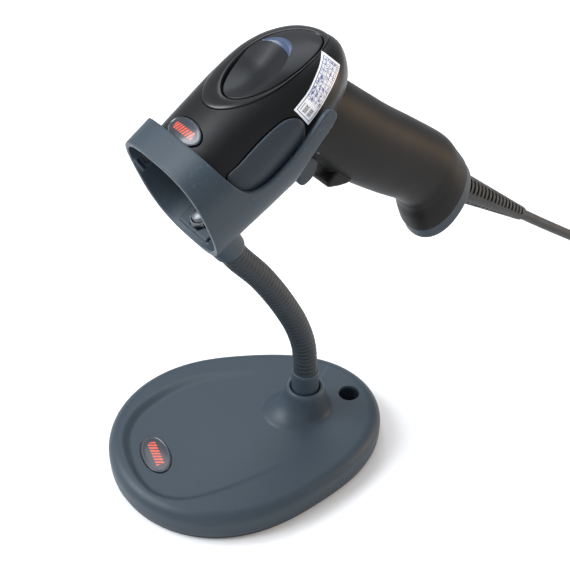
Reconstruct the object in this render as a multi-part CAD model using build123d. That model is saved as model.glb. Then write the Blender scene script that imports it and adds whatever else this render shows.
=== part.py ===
from build123d import *
import os
import math

# Handheld barcode scanner resting in the cup of a gooseneck presentation stand.
# World frame: origin in the middle of the stand's underside, +Z up, the badge
# end of the base and the scanner's nose towards -Y, millimetres.
# Head frame: scanner and cup are drawn level, nose towards -Y, in a frame on the
# neck axis that is then tilted nose down and yawed. Its +X is the scanner's left.

os.makedirs("parts", exist_ok=True)

UP = (0, 0, 1)
ACROSS = (1, 0, 0)
FORWARD = (0, -1, 0)

# ---------------------------------------------------------------- driving sizes
# shared by the stand, the neck and the cup
NECK_Y = 28.08           # neck axis on the base
NECK_R = 6.1
STUD_R = 4.0             # threaded stud at each end of the neck
STUD_HOLE_R = STUD_R + 0.02
MAT_T = 1.6              # anti-slip mat
PLATE_T = 2.0            # steel bottom plate
Z_WEIGHT = MAT_T + PLATE_T
FERRULE_R = 7.0
POCKET_TOP = Z_WEIGHT + 4.6   # nut pocket under the neck post
BADGE_GAP = 0.2          # clearance round each badge

# head frame
YAW = 14.0
TILT = 30.0
HEAD_FRAME = Pos(0, NECK_Y, 0) * Rot(0, 0, YAW) * Rot(TILT, 0, 0)

# cup boss, in the head frame
BOSS_Y = 31.0
BOSS_END = 137.6         # lower end of the boss
TOP_JOINT_Z = BOSS_END - 7.6


# ---------------------------------------------------------------- helpers
def biggest(shape):
    return max(shape.solids(), key=lambda solid: solid.volume)


def save(name, *shapes):
    """Write one part, made of the biggest solid of each shape."""
    solids = [biggest(shape) for shape in shapes]
    part = solids[0] if len(solids) == 1 else Compound(solids)
    part.label = name
    export_step(part, f"parts/{name}.step")


def save_head(name, *shapes):
    """Move shapes from the head frame to the world and write them."""
    save(name, *[HEAD_FRAME * biggest(shape) for shape in shapes])


def closed_spline(points):
    return Wire([Edge.make_spline([Vector(*p) for p in points], periodic=True)])


def angles(count):
    return [2 * math.pi * i / count for i in range(count)]


def rod(start, direction, radius, length):
    plane = Plane(origin=tuple(start), z_dir=tuple(direction))
    return Solid.make_cylinder(radius, length, plane)


def ball(centre, radius):
    return Pos(*centre) * Sphere(radius)


def half_ball(centre, direction):
    """The half of a neck ball that lies behind its centre."""
    behind = rod(Vector(*centre) - Vector(*direction) * 20, direction, 20, 20)
    return ball(centre, NECK_R) & behind


def box_at(x0, x1, y0, y1, z0, z1):
    centre = Pos((x0 + x1) / 2, (y0 + y1) / 2, (z0 + z1) / 2)
    return centre * Box(abs(x1 - x0), y1 - y0, z1 - z0)


def hex_bar(start, across, length):
    sketch = RegularPolygon(radius=across / 2, side_count=6, major_radius=False)
    return extrude(Plane(origin=start, z_dir=UP) * sketch, length)


def hex_nut(start, across, length):
    return hex_bar(start, across, length) - rod(start, UP, STUD_HOLE_R, length)


def oval_prism(x, y, half_x, half_y, z0, z1):
    long_axis = (1, 0, 0) if half_x >= half_y else (0, 1, 0)
    plane = Plane(origin=(x, y, z0), x_dir=long_axis, z_dir=UP)
    ellipse = Edge.make_ellipse(x_radius=max(half_x, half_y), y_radius=min(half_x, half_y),
                                plane=plane)
    return Solid.extrude(Face(Wire([ellipse])), Vector(0, 0, z1 - z0))


def side_prism(points, x0, x1):
    """Side profile of (y, z) points, extruded along x."""
    outline = Wire.make_polygon([Vector(x0, y, z) for y, z in points], close=True)
    return Solid.extrude(Face(outline), Vector(x1 - x0, 0, 0))


def rounded(value, exponent):
    """Superellipse coordinate of a sine or cosine."""
    return math.copysign(abs(value) ** (2 / exponent), value)


def cross_section(y, half_width, top, widest, bottom, top_exp, bottom_exp, offset=0.0):
    """Superellipse across the head frame at y, widest at height `widest`."""
    points = []
    for t in angles(40):
        c, s = math.cos(t), math.sin(t)
        height = (top + offset - widest) if s >= 0 else (widest - bottom + offset)
        exponent = top_exp if s >= 0 else bottom_exp
        points.append(((half_width + offset) * rounded(c, exponent), y,
                       widest + height * rounded(s, exponent)))
    return closed_spline(points)


# ---------------------------------------------------------------- stand base
# egg-shaped outline: r(theta) = sum of c[k] cos(k theta), theta from the front
BASE_C = (62.61, 5.49, 7.88, -1.76)
BASE_H = 15.6            # height of the rim
BASE_ROUND = 5.6         # rounding of the top edge
BASE_WALL = 2.6
RECESS_D = 2.2           # depth of the shallow tray in the top
TRAY_Z = BASE_H - RECESS_D
CEILING_Z = TRAY_Z - BASE_WALL
TRAY_SLOPE = 1.35        # degrees
WEIGHT_T = 6.0           # cast weight
HOLE_Y = 53.0            # counter screw hole
HOLE_R = 2.6             # clearance hole for an M5 counter screw
HOLE_WELL_R = 5.2
SCREWS = [(-34, -34), (34, -34), (-38, 22), (38, 22)]   # x, y
BADGE_X, BADGE_Y = 0.8, -52.4
BADGE_HALF_X, BADGE_HALF_Y = 12.2, 7.4

# plan of the tray: x, y
TRAY = [
    (-30.0, 22.0), (-38.7, 6.3), (-43.0, -18.4), (-38.6, -40.3), (-30.3, -55.0), (-17.4, -63.0),
    (-3.3, -65.8), (12.1, -65.0), (24.8, -61.0), (32.9, -53.6), (37.0, -42.0), (37.6, -26.7),
    (35.5, -6.9), (31.6, 9.2), (27.0, 22.0), (0.0, 27.0),
]
# rings of the neck post's foot: half width, half length, extra length in front, z
FOOT_RINGS = [
    (16.5, 15.5, 5.5, BASE_H - 3.5),
    (12.4, 12.2, 1.6, BASE_H + 5.0),
    (9.8, 9.8, 0.0, 30.0),
]


def base_slab(offset, z0, z1):
    points = []
    for t in angles(64):
        r = sum(c * math.cos(k * t) for k, c in enumerate(BASE_C)) + offset
        points.append((r * math.sin(t), -r * math.cos(t), z0))
    return Solid.extrude(Face(closed_spline(points)), Vector(0, 0, z1 - z0))


def neck_rod(z, radius, length):
    return rod((0, NECK_Y, z), UP, radius, length)


def foot_ring(half_x, half_y, front, z):
    points = []
    for t in angles(24):
        reach = half_y + (front if math.cos(t) > 0 else 0)
        points.append((half_x * math.sin(t), NECK_Y - reach * math.cos(t), z))
    return Face(closed_spline(points)).outer_wire()


def base_cover():
    outer = base_slab(0.0, MAT_T, BASE_H)
    outer = fillet(outer.edges().group_by(Axis.Z)[-1], BASE_ROUND)
    cover = outer - base_slab(-BASE_WALL, MAT_T - 1, CEILING_Z)
    # shallow tray, D-shaped in plan, with a sloping floor that runs out at the back
    tray = Solid.extrude(Face(closed_spline([(x, y, 0) for x, y in TRAY])), Vector(0, 0, 40))
    slope = Rot(TRAY_SLOPE, 0, 0) * Box(140, 140, 20 + 2 * RECESS_D - 1.2)
    cover = cover - (tray & (Pos(0, -30, BASE_H + 10) * slope))
    # neck post on its teardrop foot, and the wall of the counter screw well
    cover = cover + Solid.make_loft([foot_ring(*ring) for ring in FOOT_RINGS])
    cover = cover + rod((0, HOLE_Y, Z_WEIGHT), UP, HOLE_WELL_R + 2.0, BASE_H - Z_WEIGHT - 1.0)
    post_z = Z_WEIGHT + 4.4
    cover = cover + neck_rod(post_z, 11.0, BASE_H - post_z)
    cover = cover - neck_rod(0, FERRULE_R + 0.25, 60)
    cover = cover - rod((0, HOLE_Y, 0), UP, HOLE_WELL_R, 60)
    cover = cover - neck_rod(0, 10.2, POCKET_TOP)
    for x, y in SCREWS:
        cover = cover + rod((x, y, Z_WEIGHT), UP, 3.4, CEILING_Z - Z_WEIGHT + 0.6)
        cover = cover - rod((x, y, 0), UP, 1.3, 10.2)
    return cover - oval_prism(BADGE_X, BADGE_Y, BADGE_HALF_X + BADGE_GAP,
                              BADGE_HALF_Y + BADGE_GAP, TRAY_Z - 0.9, 40)


def base_plate():
    plate = base_slab(-BASE_WALL - 0.2, MAT_T, Z_WEIGHT)
    plate = plate - rod((0, HOLE_Y, 0), UP, HOLE_R, 20)
    plate = plate - neck_rod(0, 10.4, 20)
    for x, y in SCREWS:
        plate = plate - rod((x, y, 0), UP, 1.7, 20)
        plate = plate - rod((x, y, 0), UP, 3.1, MAT_T + 1.1)    # head recess
    return plate


def base_weight():
    weight = base_slab(-11.0, Z_WEIGHT, Z_WEIGHT + WEIGHT_T)
    weight = weight - neck_rod(0, 12.0, 20)
    weight = weight - box_at(-9, 9, NECK_Y, 80, 0, 20)     # slot to the back
    for x, y in SCREWS:
        weight = weight - rod((x, y, 0), UP, 4.2, 20)
    return weight


def base_mat():
    mat = base_slab(-1.2, 0.0, MAT_T) - rod((0, HOLE_Y, -1), UP, 5.0, 5)
    outline = mat.edges().filter_by(GeomType.CIRCLE, reverse=True).group_by(Axis.Z)[0]
    return fillet(outline, 0.5)


def base_screw(x, y):
    return rod((x, y, MAT_T + 0.05), UP, 2.9, 1.0) + rod((x, y, MAT_T + 1.0), UP, 1.28, 7.4)


def base_badge():
    badge = oval_prism(BADGE_X, BADGE_Y, BADGE_HALF_X, BADGE_HALF_Y,
                       TRAY_Z - 0.88, TRAY_Z + 0.5)
    return fillet(badge.edges().group_by(Axis.Z)[-1], 0.4)


save("base_cover", base_cover())
save("base_plate", base_plate())
save("base_weight", base_weight())
save("base_mat", base_mat())
save("base_screws", *[base_screw(x, y) for x, y in SCREWS])
save("base_badge", base_badge())

# ---------------------------------------------------------------- gooseneck
CORE_R = 4.0
SOCKET_R = NECK_R + 0.05     # running clearance of each ball joint
SLEEVE_SHORT = 1.8           # each tube stops this far short of the next joint
FERRULE_TOP = 36.0
# neck centreline: distance in front of the neck axis, z
NECK_PATH = [(0, 30.2), (0.2, 40.0), (0.5, 48.2), (1.4, 58.0), (3.4, 66.6), (6.8, 75.4),
             (12.0, 86.8), (17.3, 97.0), (26.6, 112.4), (34.6, 124.6), (41.0, 134.0)]
JOINT_AT = [11.5, 27.2, 43.0, 58.7, 74.5, 90.2]    # arc lengths of the lower six joints


def neck_joints():
    """Ball centres: six along the curve and the seventh on the cup boss axis."""
    yaw = math.radians(YAW)
    curve = Edge.make_spline([Vector(math.sin(yaw) * ahead, NECK_Y - math.cos(yaw) * ahead, z)
                              for ahead, z in NECK_PATH])
    joints = [curve.position_at(arc / curve.length) for arc in JOINT_AT]
    joints.append((HEAD_FRAME * Pos(0, BOSS_Y, TOP_JOINT_Z)).position)
    return joints


def neck_ferrule(joint):
    """Tube in the base post, leaning stub with the first socket, and lower stud."""
    start_z = POCKET_TOP + 0.05
    ferrule = neck_rod(start_z, FERRULE_R, FERRULE_TOP - start_z)
    bend = Vector(0, NECK_Y, FERRULE_TOP - 2)
    lean = joint - bend
    ferrule = ferrule + rod(bend, lean.normalized(), NECK_R, lean.length - SLEEVE_SHORT)
    ferrule = ferrule - ball(joint, SOCKET_R)
    return ferrule + neck_rod(MAT_T + 0.4, STUD_R, 10)


def neck_core(start, direction, length, end):
    core = rod(start, direction, CORE_R, length) + half_ball(start, direction)
    return core - ball(end, SOCKET_R)


def neck_sleeve(start, direction, length, end):
    sleeve = rod(start + direction * 0.02, direction, NECK_R, length - SLEEVE_SHORT)
    sleeve = sleeve - rod(start - direction, direction, CORE_R + 0.01, length + 2)
    return sleeve - ball(end, SOCKET_R)


joints = neck_joints()
save("neck_ferrule", neck_ferrule(joints[0]))
save("neck_base_nut", hex_nut((0, NECK_Y, MAT_T + 0.6), 13.0, 5.6))
for number, (start, end) in enumerate(zip(joints, joints[1:]), 1):
    link = end - start
    save(f"neck_core_{number}", neck_core(start, link.normalized(), link.length, end))
    save(f"neck_sleeve_{number}", neck_sleeve(start, link.normalized(), link.length, end))

# ---------------------------------------------------------------- cup
CUP_WALL = 2.2
CUP_EXP = 2.8            # superellipse exponent
# y, half width, top, widest height, bottom
CUP_OUT = [
    (8.0, 27.9, 206.2, 184.5, 158.5),
    (30.0, 28.3, 206.3, 184.5, 158.5),
    (50.0, 29.6, 206.4, 184.5, 158.5),
    (70.0, 30.5, 206.6, 184.5, 158.5),
    (112.0, 30.8, 206.6, 184.5, 158.5),
]
# side outline that trims the tube: y, z
CUP_SIDE = [
    (30.7, 208.5), (20.8, 156.0), (54.0, 156.0), (62.0, 163.0), (70.0, 170.6),
    (80.0, 175.4), (89.0, 178.4), (93.2, 181.2), (92.9, 185.0), (89.6, 186.2),
    (81.0, 183.8), (70.8, 181.3), (58.0, 180.0), (50.6, 181.6), (46.8, 184.6),
    (44.9, 189.5), (43.7, 196.0), (43.0, 208.5),
]
BOSS_TOP = 160.4
NUT_SEAT_Z = 160.8
STUD_TOP = 166.6


def cup_section(row, offset=0.0):
    return cross_section(*row, CUP_EXP, CUP_EXP, offset)


def magnet_box(side, x0, x1, gap=0.0):
    return box_at(side * x0, side * x1, 29.4 - gap, 37.6 + gap, 182.6 - gap, 187.6 + gap)


def boss_rod(z0, radius, length):
    return rod((0, BOSS_Y, z0), UP, radius, length)


def cup_shell():
    outer = Solid.make_loft([cup_section(row) for row in CUP_OUT])
    inner = Solid.make_loft([cup_section(row, -CUP_WALL) for row in CUP_OUT])
    # run the cavity out through the front
    inner = inner + Solid.extrude(Face(cup_section(CUP_OUT[0], -CUP_WALL)), Vector(0, -4, 0))
    side = side_prism(CUP_SIDE, -40, 40)
    cup = biggest((outer - inner) & side)
    platform = box_at(-11, 11, 20.6, 37.2, 157.0, 163.0) & outer & side
    boss = Solid.make_cone(7.3, 9.2, BOSS_TOP - BOSS_END,
                           Plane(origin=(0, BOSS_Y, BOSS_END), z_dir=UP))
    cup = cup + platform + boss
    cup = cup - boss_rod(BOSS_END - 1, STUD_HOLE_R, 40)
    cup = cup - hex_bar((0, BOSS_Y, NUT_SEAT_Z), 10.3, 10)
    for side_sign in (-1, 1):
        cup = cup - magnet_box(side_sign, 25.6, 27.4, gap=0.2)
    return cup


def neck_top_fitting():
    fitting = boss_rod(TOP_JOINT_Z, NECK_R, BOSS_END - TOP_JOINT_Z - 0.05)
    fitting = fitting + half_ball((0, BOSS_Y, TOP_JOINT_Z), UP)
    return fitting + boss_rod(BOSS_END - 1, STUD_R, STUD_TOP - BOSS_END + 1)


save_head("cup_shell", cup_shell())
save_head("cup_magnets", *[magnet_box(side, 26.2, 27.35) for side in (-1, 1)])
save_head("neck_top_fitting", neck_top_fitting())
save_head("cup_nut", hex_nut((0, BOSS_Y, NUT_SEAT_Z + 0.05), 10.1, 4.6))

# ---------------------------------------------------------------- scanner bodies
HEAD_WALL = 2.3
HEAD_TOP_EXP = 2.3       # superellipse exponent of the upper half
# nose to tail: y, half width, top, widest height, bottom, exponent of the lower half
HEAD = [
    (38.0, 25.2, 202.8, 182.0, 161.0, 2.6),
    (45.0, 25.6, 203.2, 182.0, 161.0, 2.6),
    (60.0, 26.2, 203.7, 182.5, 161.0, 2.5),
    (75.0, 26.6, 203.9, 183.5, 160.5, 2.2),
    (88.0, 25.9, 203.2, 183.5, 160.5, 1.9),
    (98.0, 24.0, 201.0, 183.5, 160.5, 1.7),
    (106.0, 20.6, 197.4, 184.0, 161.5, 1.6),
    (112.0, 15.8, 193.6, 184.5, 164.0, 1.6),
    (116.0, 10.2, 189.6, 184.0, 168.0, 1.7),
    (118.3, 5.6, 185.8, 182.0, 173.0, 1.8),
]
HANDLE_WALL = 2.4
HANDLE_EXP = 2.15
HANDLE_AXIS = (0.39, -0.921)     # y, z down the handle
# top to foot: front point y, z, depth across, half width
HANDLE_SECTIONS = [
    (72.5, 165.6, 36.6, 15.3), (78.0, 153.0, 37.4, 15.4), (84.0, 133.6, 38.6, 15.4),
    (90.9, 115.8, 38.4, 15.2), (99.2, 97.2, 38.1, 15.0), (107.6, 79.8, 37.0, 15.3),
    (108.4, 71.8, 38.6, 15.9), (106.8, 64.5, 41.2, 16.6), (105.6, 57.0, 43.4, 17.2),
    (104.8, 48.4, 45.4, 17.5), (105.2, 40.0, 45.6, 17.4), (106.6, 30.0, 44.6, 17.0),
]
FOOT_N = (0.352, -0.936)         # y, z of the outward normal of the handle's foot
FOOT_AT = (125.0, 56.15)         # y, z of a point on the foot plane


def head_solid(offset=0.0):
    """Outer body of the head, grown by offset on every side."""
    sections = []
    for i, (y, half_width, top, widest, bottom, bottom_exp) in enumerate(HEAD):
        if i == 0:
            y -= offset
        if i == len(HEAD) - 1:
            y += offset
        sections.append(cross_section(y, half_width, top, widest, bottom,
                                      HEAD_TOP_EXP, bottom_exp, offset))
    return Solid.make_loft(sections)


def beyond_foot(inset):
    """Block that starts this far inside the foot plane and fills all beyond it."""
    origin = (0, FOOT_AT[0] - FOOT_N[0] * inset, FOOT_AT[1] - FOOT_N[1] * inset)
    plane = Plane(origin=origin, z_dir=(0, *FOOT_N))
    return plane.location * Pos(0, 0, 100) * Box(200, 200, 200)


def handle_section(front_y, front_z, depth, half_width, offset):
    back_y, back_z = -HANDLE_AXIS[1], HANDLE_AXIS[0]     # direction from front to back
    points = []
    for t in angles(36):
        x = (half_width + offset) * rounded(math.sin(t), HANDLE_EXP)
        back = depth / 2 + (depth / 2 + offset) * rounded(math.cos(t), HANDLE_EXP)
        points.append((x, front_y + back_y * back, front_z + back_z * back))
    return closed_spline(points)


def catmull_rom(a, b, c, d, t):
    return 0.5 * (2 * b + (c - a) * t + (2 * a - 5 * b + 4 * c - d) * t * t
                  + (3 * b - a - 3 * c + d) * t ** 3)


def handle_solid(offset=0.0, foot_inset=0.0):
    """Ruled loft through the stations and the points halfway between them."""
    last = len(HANDLE_SECTIONS) - 1
    sections = []
    for i in range(last):
        near = [HANDLE_SECTIONS[max(0, min(last, i + k))] for k in (-1, 0, 1, 2)]
        for t in (0.0, 0.5):
            row = [catmull_rom(*values, t) for values in zip(*near)]
            sections.append(handle_section(*row, offset))
    sections.append(handle_section(*HANDLE_SECTIONS[-1], offset))
    return biggest(Solid.make_loft(sections, True) - beyond_foot(foot_inset))


head = head_solid()
head_inside = head_solid(-HEAD_WALL)
handle = handle_solid()
handle_inside = handle_solid(-HANDLE_WALL, foot_inset=HANDLE_WALL)

# ---------------------------------------------------------------- head housing
SEAM_Z = 171.0           # seam between the upper and lower housing
NOSE_END = 41.0          # y where the housing starts behind the nose bezel
LOW, HIGH = 120, 230     # heights clear below and above the head
# ovals in the top: centre y, half width, half length
OVAL_OUT = (88.6, 19.4, 28.6)
OVAL_IN = (91.2, 15.6, 23.2)
TRIM_PROUD = 0.5
DISH_DROP = 1.1
DISH_T = 1.6
HEAD_BADGE = (48.3, 11.0, 5.9)   # centre y, half width, half length
GRIP_PROUD = 0.7
LABEL_T = 0.25
# side outlines: y, z
GRIP_SIDE = [
    (46.2, 172.4), (46.6, 191.8), (54.0, 193.0), (62.0, 193.7), (70.0, 193.9), (75.0, 193.6),
    (78.6, 192.2), (80.8, 189.8), (81.6, 186.6), (81.8, 181.0), (81.0, 175.4), (77.0, 172.4),
]
LABEL_SIDE = [(83.6, 193.0), (87.6, 184.6), (111.0, 188.6), (107.5, 196.6)]


def full_width(y0, y1, z0, z1):
    return box_at(-60, 60, y0, y1, z0, z1)


def top_oval(y, half_width, half_length, z0=180):
    return oval_prism(0, y, half_width, half_length, z0, HIGH)


def badge_oval(gap=0.0):
    y, half_width, half_length = HEAD_BADGE
    return top_oval(y, half_width + gap, half_length + gap, z0=198)


shell = head - head_inside
shell = shell - full_width(0, NOSE_END, LOW, HIGH)
outer_oval = top_oval(*OVAL_OUT)
inner_oval = top_oval(*OVAL_IN)

badge_seat = badge_oval(BADGE_GAP) & (head - head_solid(-1.0))
upper = (shell & full_width(20, 140, SEAM_Z, HIGH)) - outer_oval - badge_seat
save_head("upper_housing", upper)
save_head("lower_housing", (shell & full_width(20, 140, LOW, SEAM_Z)) - handle)

# raised trim round a sunken dish, with a crescent status lens at the dish's back
dish_under = head_solid(-DISH_DROP - DISH_T)
save_head("top_trim", ((head_solid(TRIM_PROUD) - dish_under) & outer_oval) - inner_oval)
crescent = top_oval(88.2, 15.0, 15.6) - top_oval(84.0, 15.0, 15.6)
crescent = crescent & box_at(-8.5, 8.5, 95, 120, 180, HIGH)
dish = (head_solid(-DISH_DROP) - dish_under) & inner_oval
save_head("top_dish", dish - crescent)
save_head("status_lens", dish & crescent)
save_head("head_badge", (head_solid(0.3) - head_solid(-0.98)) & badge_oval())

bezel = head & full_width(30, NOSE_END - 0.1, LOW, HIGH)
save_head("nose_bezel", bezel - box_at(-17.5, 17.5, 30, 60, 175, 191))
save_head("scan_window", box_at(-19.0, 19.0, NOSE_END, NOSE_END + 1.6, 173.5, 192.5))

# grip pads on both flanks
grip_skin = head_solid(GRIP_PROUD) - head
grip_cut = side_prism(GRIP_SIDE, 0.5, 45)
save_head("side_grip_left", grip_skin & grip_cut)
save_head("side_grip_right", grip_skin & mirror(grip_cut, Plane.YZ))

# rating label on the left flank, behind the grip
label = (head_solid(LABEL_T) - head) & side_prism(LABEL_SIDE, 10, 45)
save_head("rating_label", label - outer_oval)

# ---------------------------------------------------------------- optics and electronics
CHASSIS_HALF_W = 20
CHASSIS_Z = 171.6
FLOOR_Z = 174.0          # top of the chassis floor
REST_Z = FLOOR_Z + 0.05  # underside of parts that stand on it
MIRROR_Y = 74.0          # pivot axis of the scan mirror
LASER_X, LASER_Z = -11, 181.5
LASER_BACK_Y = 62
BOARD_Z = 174.2          # top of the main board
BOARD_T = 1.6


def mirror_rod(z, radius, length):
    return rod((0, MIRROR_Y, z), UP, radius, length)


chassis = box_at(-CHASSIS_HALF_W, CHASSIS_HALF_W, 44, 82, CHASSIS_Z, FLOOR_Z)
for side in (-1, 1):
    chassis = chassis + box_at(side * CHASSIS_HALF_W, side * (CHASSIS_HALF_W - 2),
                               44, 82, CHASSIS_Z, 190)
save_head("engine_chassis", chassis - mirror_rod(170, 2.1, 6))

# laser barrel on its block, bored through
laser = rod((LASER_X, LASER_BACK_Y, LASER_Z), FORWARD, 4.0, 12)
laser = laser + box_at(LASER_X - 4.5, LASER_X + 4.5, LASER_BACK_Y, LASER_BACK_Y + 4,
                       FLOOR_Z, LASER_Z + 5)
save_head("laser_module", laser - rod((LASER_X, 70, LASER_Z), FORWARD, 1.0, 21))

collector = side_prism([(46.5, REST_Z), (50.5, REST_Z), (47.5, 193.0), (45.4, 193.0)], 0, 16.5)
save_head("collector_mirror", collector - rod((8, 28, 184), (0, 1, 0), 1.6, 40))

save_head("photodiode_board", box_at(2, 16, 79.0, 80.6, REST_Z, 192.0)
          + box_at(5, 13, 77.8, 79.0, 179, 187))

# turntable, upright plate and pivot pin
holder = mirror_rod(174.2, 5.0, 2.6)
holder = holder + box_at(-5.5, 5.5, MIRROR_Y - 1.0, MIRROR_Y + 2.4, 175.6, 190.4)
save_head("mirror_holder", holder + mirror_rod(169.9, 2.05, 6))
save_head("scan_mirror", box_at(-5.2, 5.2, MIRROR_Y - 2.0, MIRROR_Y - 1.0, 177.0, 190.2))
save_head("mirror_coil", mirror_rod(164.4, 5.2, 4.6) - mirror_rod(160, 2.1, 20))

save_head("main_board", box_at(-20, 20, 86.5, 112.5, BOARD_Z - BOARD_T, BOARD_Z) & head_inside)
# x0, x1, y0, y1, height
CHIPS = [(-8, 6, 90, 104, 1.6), (9.5, 15.5, 91, 99, 1.4), (-16, -11, 92, 98, 2.2)]
save_head("board_chips", *[box_at(x0, x1, y0, y1, BOARD_Z, BOARD_Z + height)
                           for x0, x1, y0, y1, height in CHIPS])
save_head("buzzer", rod((8.0, 107.4, BOARD_Z), UP, 3.8, 3.4)
          - rod((8.0, 107.4, BOARD_Z + 1.8), UP, 0.8, 4))

# ---------------------------------------------------------------- handle
CAP_T = 7.6                      # end cap
HANDLE_SCREWS = [(106.0, 118.0), (116.5, 66.0)]     # y, z
TRIGGER_HALF_W = 7.6
OPENING_HALF_W = TRIGGER_HALF_W + 0.5
PIN_Y, PIN_Z = 84.8, 153.9       # trigger pin
PIN_R = 1.25
PIN_HALF_L = 11.8
BOOT_START = (134.9, 59.9)       # y, z where the cable axis leaves the handle
CABLE_DIR = (0.3998, -0.9166)    # y, z along the cable
BOOT_NECK_R = 4.9
# side outlines: y, z
OPENING_SIDE = [(60, 132.6), (86.5, 132.6), (93.0, 140.0), (93.0, 158.5), (60, 158.5)]
LIP_SIDE = [(79.8, 128.3), (80.6, 130.8), (83.0, 132.2), (90.5, 132.2), (95.0, 121.0),
            (89.0, 121.8)]
TRIGGER_SIDE = [
    (87.2, 151.3), (87.2, 156.3), (83.8, 157.1), (78.6, 154.9), (74.4, 151.1), (71.4, 146.3),
    (71.0, 142.5), (73.0, 140.3), (78.0, 140.5), (81.8, 143.5), (84.4, 147.5),
]


def cable_point(distance):
    """Point on the cable axis, this far past the boot's start."""
    return (0, BOOT_START[0] + CABLE_DIR[0] * distance, BOOT_START[1] + CABLE_DIR[1] * distance)


def cable_rod(distance, radius, length):
    return rod(cable_point(distance), (0, *CABLE_DIR), radius, length)


def is_lip_front(edge):
    centre = edge.center()
    return abs(centre.Y - 85.0) < 9.0 and abs(centre.X) > 7.0 and centre.Y < 90.0


cap_zone = beyond_foot(CAP_T)
boot_hole = cable_rod(-30, BOOT_NECK_R + 0.1, 60)
opening = side_prism(OPENING_SIDE, -OPENING_HALF_W, OPENING_HALF_W)
# lip on the front of the handle, below the trigger opening
lip = side_prism(LIP_SIDE, -8.0, 8.0)
lip = fillet(lip.edges().filter_by(is_lip_front), 1.2)
lip = biggest(lip - handle_inside)
handle_shell = biggest(handle - head) - handle_inside - opening - cap_zone - boot_hole


def handle_half(side):
    """Half of the handle on one side of the middle plane; side is the sign of x."""
    zone = box_at(0, side * 60, 40, 200, 0, 230)
    half = biggest(biggest(handle_shell & zone) + (lip & zone))
    for y, z in HANDLE_SCREWS:
        half = half + (rod((0, y, z), (side, 0, 0), 3.2, 14.0) & handle)
        half = half - rod((-12.0, y, z), ACROSS, 1.26, 24.0)
        if side < 0:
            half = half - rod((-30.0, y, z), ACROSS, 2.6, 19.0)    # screw head seat
    # seat for the trigger pin
    ear = box_at(side * OPENING_HALF_W, side * 13.4, 81.8, 89.3, 150.4, 157.4) & handle
    return half + ear - rod((-12.0, PIN_Y, PIN_Z), ACROSS, PIN_R + 0.01, 24.0)


save_head("handle_left", handle_half(1))
save_head("handle_right", handle_half(-1))
save_head("housing_screws", *[rod((-13.2, y, z), ACROSS, 2.5, 1.95)
                              + rod((-11.3, y, z), ACROSS, 1.25, 21.0)
                              for y, z in HANDLE_SCREWS])

# cap closing the bottom of the handle
end_cap = biggest(handle & cap_zone) - handle_inside
save_head("end_cap", biggest(end_cap) - boot_hole)

# trigger: a finger pad on a cross pin
pad = side_prism(TRIGGER_SIDE, -TRIGGER_HALF_W, TRIGGER_HALF_W)
pad = fillet(pad.edges().filter_by(Axis.X), 0.8)
save_head("trigger", pad - rod((-30, PIN_Y, PIN_Z), ACROSS, PIN_R + 0.05, 60))
save_head("trigger_pin", rod((-PIN_HALF_L, PIN_Y, PIN_Z), ACROSS, PIN_R, 2 * PIN_HALF_L))
save_head("trigger_switch", box_at(-4, 4, 93.2, 99.2, 134.0, 141.0))

# ---------------------------------------------------------------- cable and plug
# distances run along the cable axis from the boot's start
BOOT_L = 72.3
CABLE_R = 2.9
CABLE_START = -18
CABLE_END = BOOT_L + 72.0
PLUG_L = 26.0


def cable_plane(distance):
    return Plane(origin=cable_point(distance), x_dir=ACROSS, z_dir=(0, *CABLE_DIR))


# strain relief: a straight neck in the handle and a tapered boot outside
cone_plane = Plane(origin=cable_point(1.0), z_dir=(0, *CABLE_DIR))
boot = cable_rod(-12, BOOT_NECK_R, 24.0) + Solid.make_cone(8.2, 3.6, BOOT_L, cone_plane)
save_head("strain_relief", boot - cable_rod(-13, CABLE_R, 120))
save_head("cable", cable_rod(CABLE_START, CABLE_R - 0.02, CABLE_END - CABLE_START))
save_head("cable_connector", cable_rod(CABLE_START - 12, 5.4, 11.9))

plug = extrude(cable_plane(CABLE_END) * RectangleRounded(15.6, 8.0, 2.2), PLUG_L)
plug = plug + cable_rod(CABLE_END - 9, 3.5, 9.0)
save_head("usb_plug_body", plug - cable_rod(CABLE_END - 10, CABLE_R, 10.1))

# metal shell of the plug with its contact tongue
tip = cable_plane(CABLE_END + PLUG_L)
usb = extrude(tip * Rectangle(12.0, 4.5), 11.8)
usb = usb - extrude(tip * Pos(0, 0, 0.6) * Rectangle(11.4, 3.9), 12.0)
usb = usb + extrude(tip * Pos(0, -0.85, 0.5) * Rectangle(11.3, 1.8), 10.6)
save_head("usb_plug_shell", usb)
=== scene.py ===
# Hand scanner held nose down in the cup of a gooseneck stand.
# World frame: the stand rests near z = 0, its front faces -y, and +x is its left.
# Scanner frame: x to the left, y from the nose back to the tail, z up off the tilted head.
# Shapes are worked out in millimetres and stored in metres.
import bpy
import bmesh
import math
import numpy as np
from mathutils import Matrix, Vector


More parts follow.
